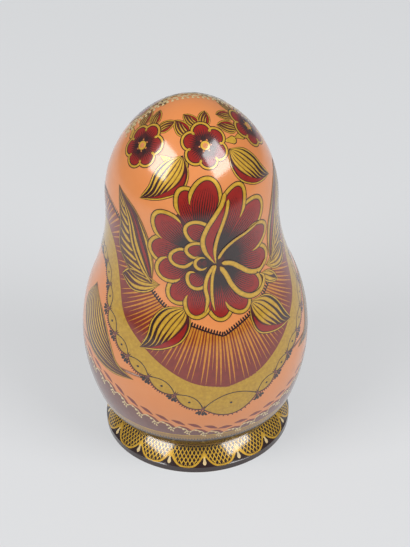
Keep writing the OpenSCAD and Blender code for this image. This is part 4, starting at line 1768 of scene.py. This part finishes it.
class PaintSkirt(bpy.types.Operator):
    """Paints the skirt with its hem and the gold net on the plinth of the outer doll"""

    bl_idname = "nesting.paint_skirt"
    bl_label = "Paint skirt and plinth"

    def execute(self, context):
        paint_on(context, Doll("outer"), (("skirt", (paint_skirt,)), ("net", (paint_plinth,))))
        return {"FINISHED"}


class PaintFace(bpy.types.Operator):
    """Paints the face, the knot and the bouquet on the front of the outer doll"""

    bl_idname = "nesting.paint_face"
    bl_label = "Paint face and bouquet"

    def execute(self, context):
        paint_on(context, Doll("outer"), (("face", (paint_face,)), ("bouquet", (paint_bouquet,))))
        return {"FINISHED"}


class PaintInnerDolls(bpy.types.Operator):
    """Paints the dolls inside with the same motifs and fewer fine strokes"""

    bl_idname = "nesting.paint_inner_dolls"
    bl_label = "Paint inner dolls"

    def execute(self, context):
        back = (paint_shawl, paint_skirt, paint_plinth, paint_leaves, paint_flower)
        motifs = back + (paint_wreath, paint_face, paint_bouquet)
        for name in DOLLS[1:]:
            paint_on(context, Doll(name), (("painting", motifs),))
        return {"FINISHED"}


# Stage in metres: radius of the floor, and radius and height of the wall that it curves up into
FLOOR_R = 4.0
COVE_R = 0.6
WALL_H = 1.0
FLOOR_SIDES = 96
# Soft boxes with their azimuth and elevation in degrees, their distance and their side
LAMPS = (("soft_box_left", -57.0, 42.0), ("soft_box_right", 54.0, 43.0))
LAMP_DISTANCE = 2.4
LAMP_SIDE = 1.25
ROOM_COLOUR = (0.93, 0.965, 1.0, 1.0)
SENSOR = 36.0


class SetStage(bpy.types.Operator):
    """Lays the pale floor and sets up the soft boxes, the even light and the camera"""

    bl_idname = "nesting.set_stage"
    bl_label = "Set stage"

    def execute(self, context):
        scene = context.scene
        studio = scene.doll_studio
        self.lay_floor(palette_of(scene.doll_colours)["floor"])
        aim = np.array([0.0, 0.0, studio.aim_z])
        for name, azimuth, elevation in LAMPS:
            way = np.radians([azimuth, elevation])
            self.hang_lamp(scene, name, *way, aim, studio.lamp_power)
        self.light_room(scene, studio.room_light)
        self.place_camera(scene, studio, aim)
        scene.view_settings.view_transform = "Standard"
        return {"FINISHED"}

    def lay_floor(self, colour):
        """Round floor that curves up into a wall all round: its section carried round the axis."""
        bend = np.linspace(-np.pi / 2, 0.0, 13)
        r = np.r_[np.linspace(0.0, FLOOR_R, 12), FLOOR_R + COVE_R * np.cos(bend)[1:], FLOOR_R + COVE_R]
        z = np.r_[np.zeros(12), COVE_R + COVE_R * np.sin(bend)[1:], WALL_H]
        co, quads = revolved(np.stack([r, z], axis=1)[::-1], FLOOR_SIDES)
        studio_floor("pale_paper", colour)
        floor, _ = new_object("studio_floor", co, quads, ("pale_paper",), np.zeros(len(quads)))

    def hang_lamp(self, scene, name, azimuth, elevation, aim, power):
        """Square soft box at a direction from the doll, facing it."""
        light = bpy.data.lights.new(name, "AREA")
        light.shape = "SQUARE"
        light.size = LAMP_SIDE
        light.energy = power
        lamp = bpy.data.objects.new(name, light)
        height = aim[2] + LAMP_DISTANCE * np.sin(elevation)
        lamp.location = around_axis(LAMP_DISTANCE * np.cos(elevation), azimuth, height)
        lamp.rotation_euler = (np.pi / 2 - elevation, 0.0, azimuth)
        scene.collection.objects.link(lamp)

    def light_room(self, scene, strength):
        """Even light of the room."""
        world = bpy.data.worlds.new("room")
        scene.world = world
        world.use_nodes = True
        background = world.node_tree.nodes["Background"]
        background.inputs["Color"].default_value = ROOM_COLOUR
        background.inputs["Strength"].default_value = strength

    def place_camera(self, scene, studio, aim):
        """Camera on the side of azimuth 0, at its elevation and distance from the aim."""
        data = bpy.data.cameras.new("camera")
        data.sensor_fit = "AUTO"
        data.sensor_width = SENSOR
        data.lens = studio.lens
        data.shift_x = studio.shift_x
        data.shift_y = studio.shift_y
        camera = bpy.data.objects.new("camera", data)
        flat = studio.distance * np.cos(studio.elevation)
        camera.location = (0.0, -flat, aim[2] + studio.distance * np.sin(studio.elevation))
        look = Euler((np.pi / 2 - studio.elevation, 0.0, 0.0)).to_matrix()
        camera.rotation_euler = (look @ Euler((0.0, 0.0, -studio.roll)).to_matrix()).to_euler()
        scene.collection.objects.link(camera)
        scene.camera = camera


class NestingDollsPanel(bpy.types.Panel):
    """Steps of the set in order, with its sizes and colours"""

    bl_idname = "VIEW3D_PT_nesting_dolls"
    bl_label = "Nesting Dolls"
    bl_space_type = "VIEW_3D"
    bl_region_type = "UI"
    bl_category = "Nesting Dolls"

    def draw(self, context):
        scene = context.scene
        for operator in STEPS:
            self.layout.operator(operator.bl_idname)
        for settings in (scene.doll_sizes, scene.doll_colours, scene.doll_studio):
            box = self.layout.box()
            for name in settings.__annotations__:
                box.prop(settings, name)


PAINT_STEPS = (PaintShawl, PaintFlower, PaintWreath, PaintSkirt, PaintFace, PaintInnerDolls)
STEPS = (MixFinishes, TurnShells, *PAINT_STEPS, SetStage)
CLASSES = (TurnedSizes, PaintColours, StudioSettings, *STEPS, NestingDollsPanel)


def register():
    """Registers the classes and hangs the settings on the scene."""
    for made in CLASSES:
        bpy.utils.register_class(made)
    bpy.types.Scene.doll_sizes = bpy.props.PointerProperty(type=TurnedSizes)
    bpy.types.Scene.doll_colours = bpy.props.PointerProperty(type=PaintColours)
    bpy.types.Scene.doll_studio = bpy.props.PointerProperty(type=StudioSettings)


def unregister():
    """Takes the settings and the classes away again."""
    del bpy.types.Scene.doll_studio, bpy.types.Scene.doll_colours, bpy.types.Scene.doll_sizes
    for made in reversed(CLASSES):
        bpy.utils.unregister_class(made)


def main():
    """Makes the whole set step by step."""
    register()
    bpy.ops.nesting.mix_finishes()
    bpy.ops.nesting.turn_shells()
    bpy.ops.nesting.paint_shawl()
    bpy.ops.nesting.paint_flower()
    bpy.ops.nesting.paint_wreath()
    bpy.ops.nesting.paint_skirt()
    bpy.ops.nesting.paint_face()
    bpy.ops.nesting.paint_inner_dolls()
    bpy.ops.nesting.set_stage()


if __name__ == "__main__":
    main()
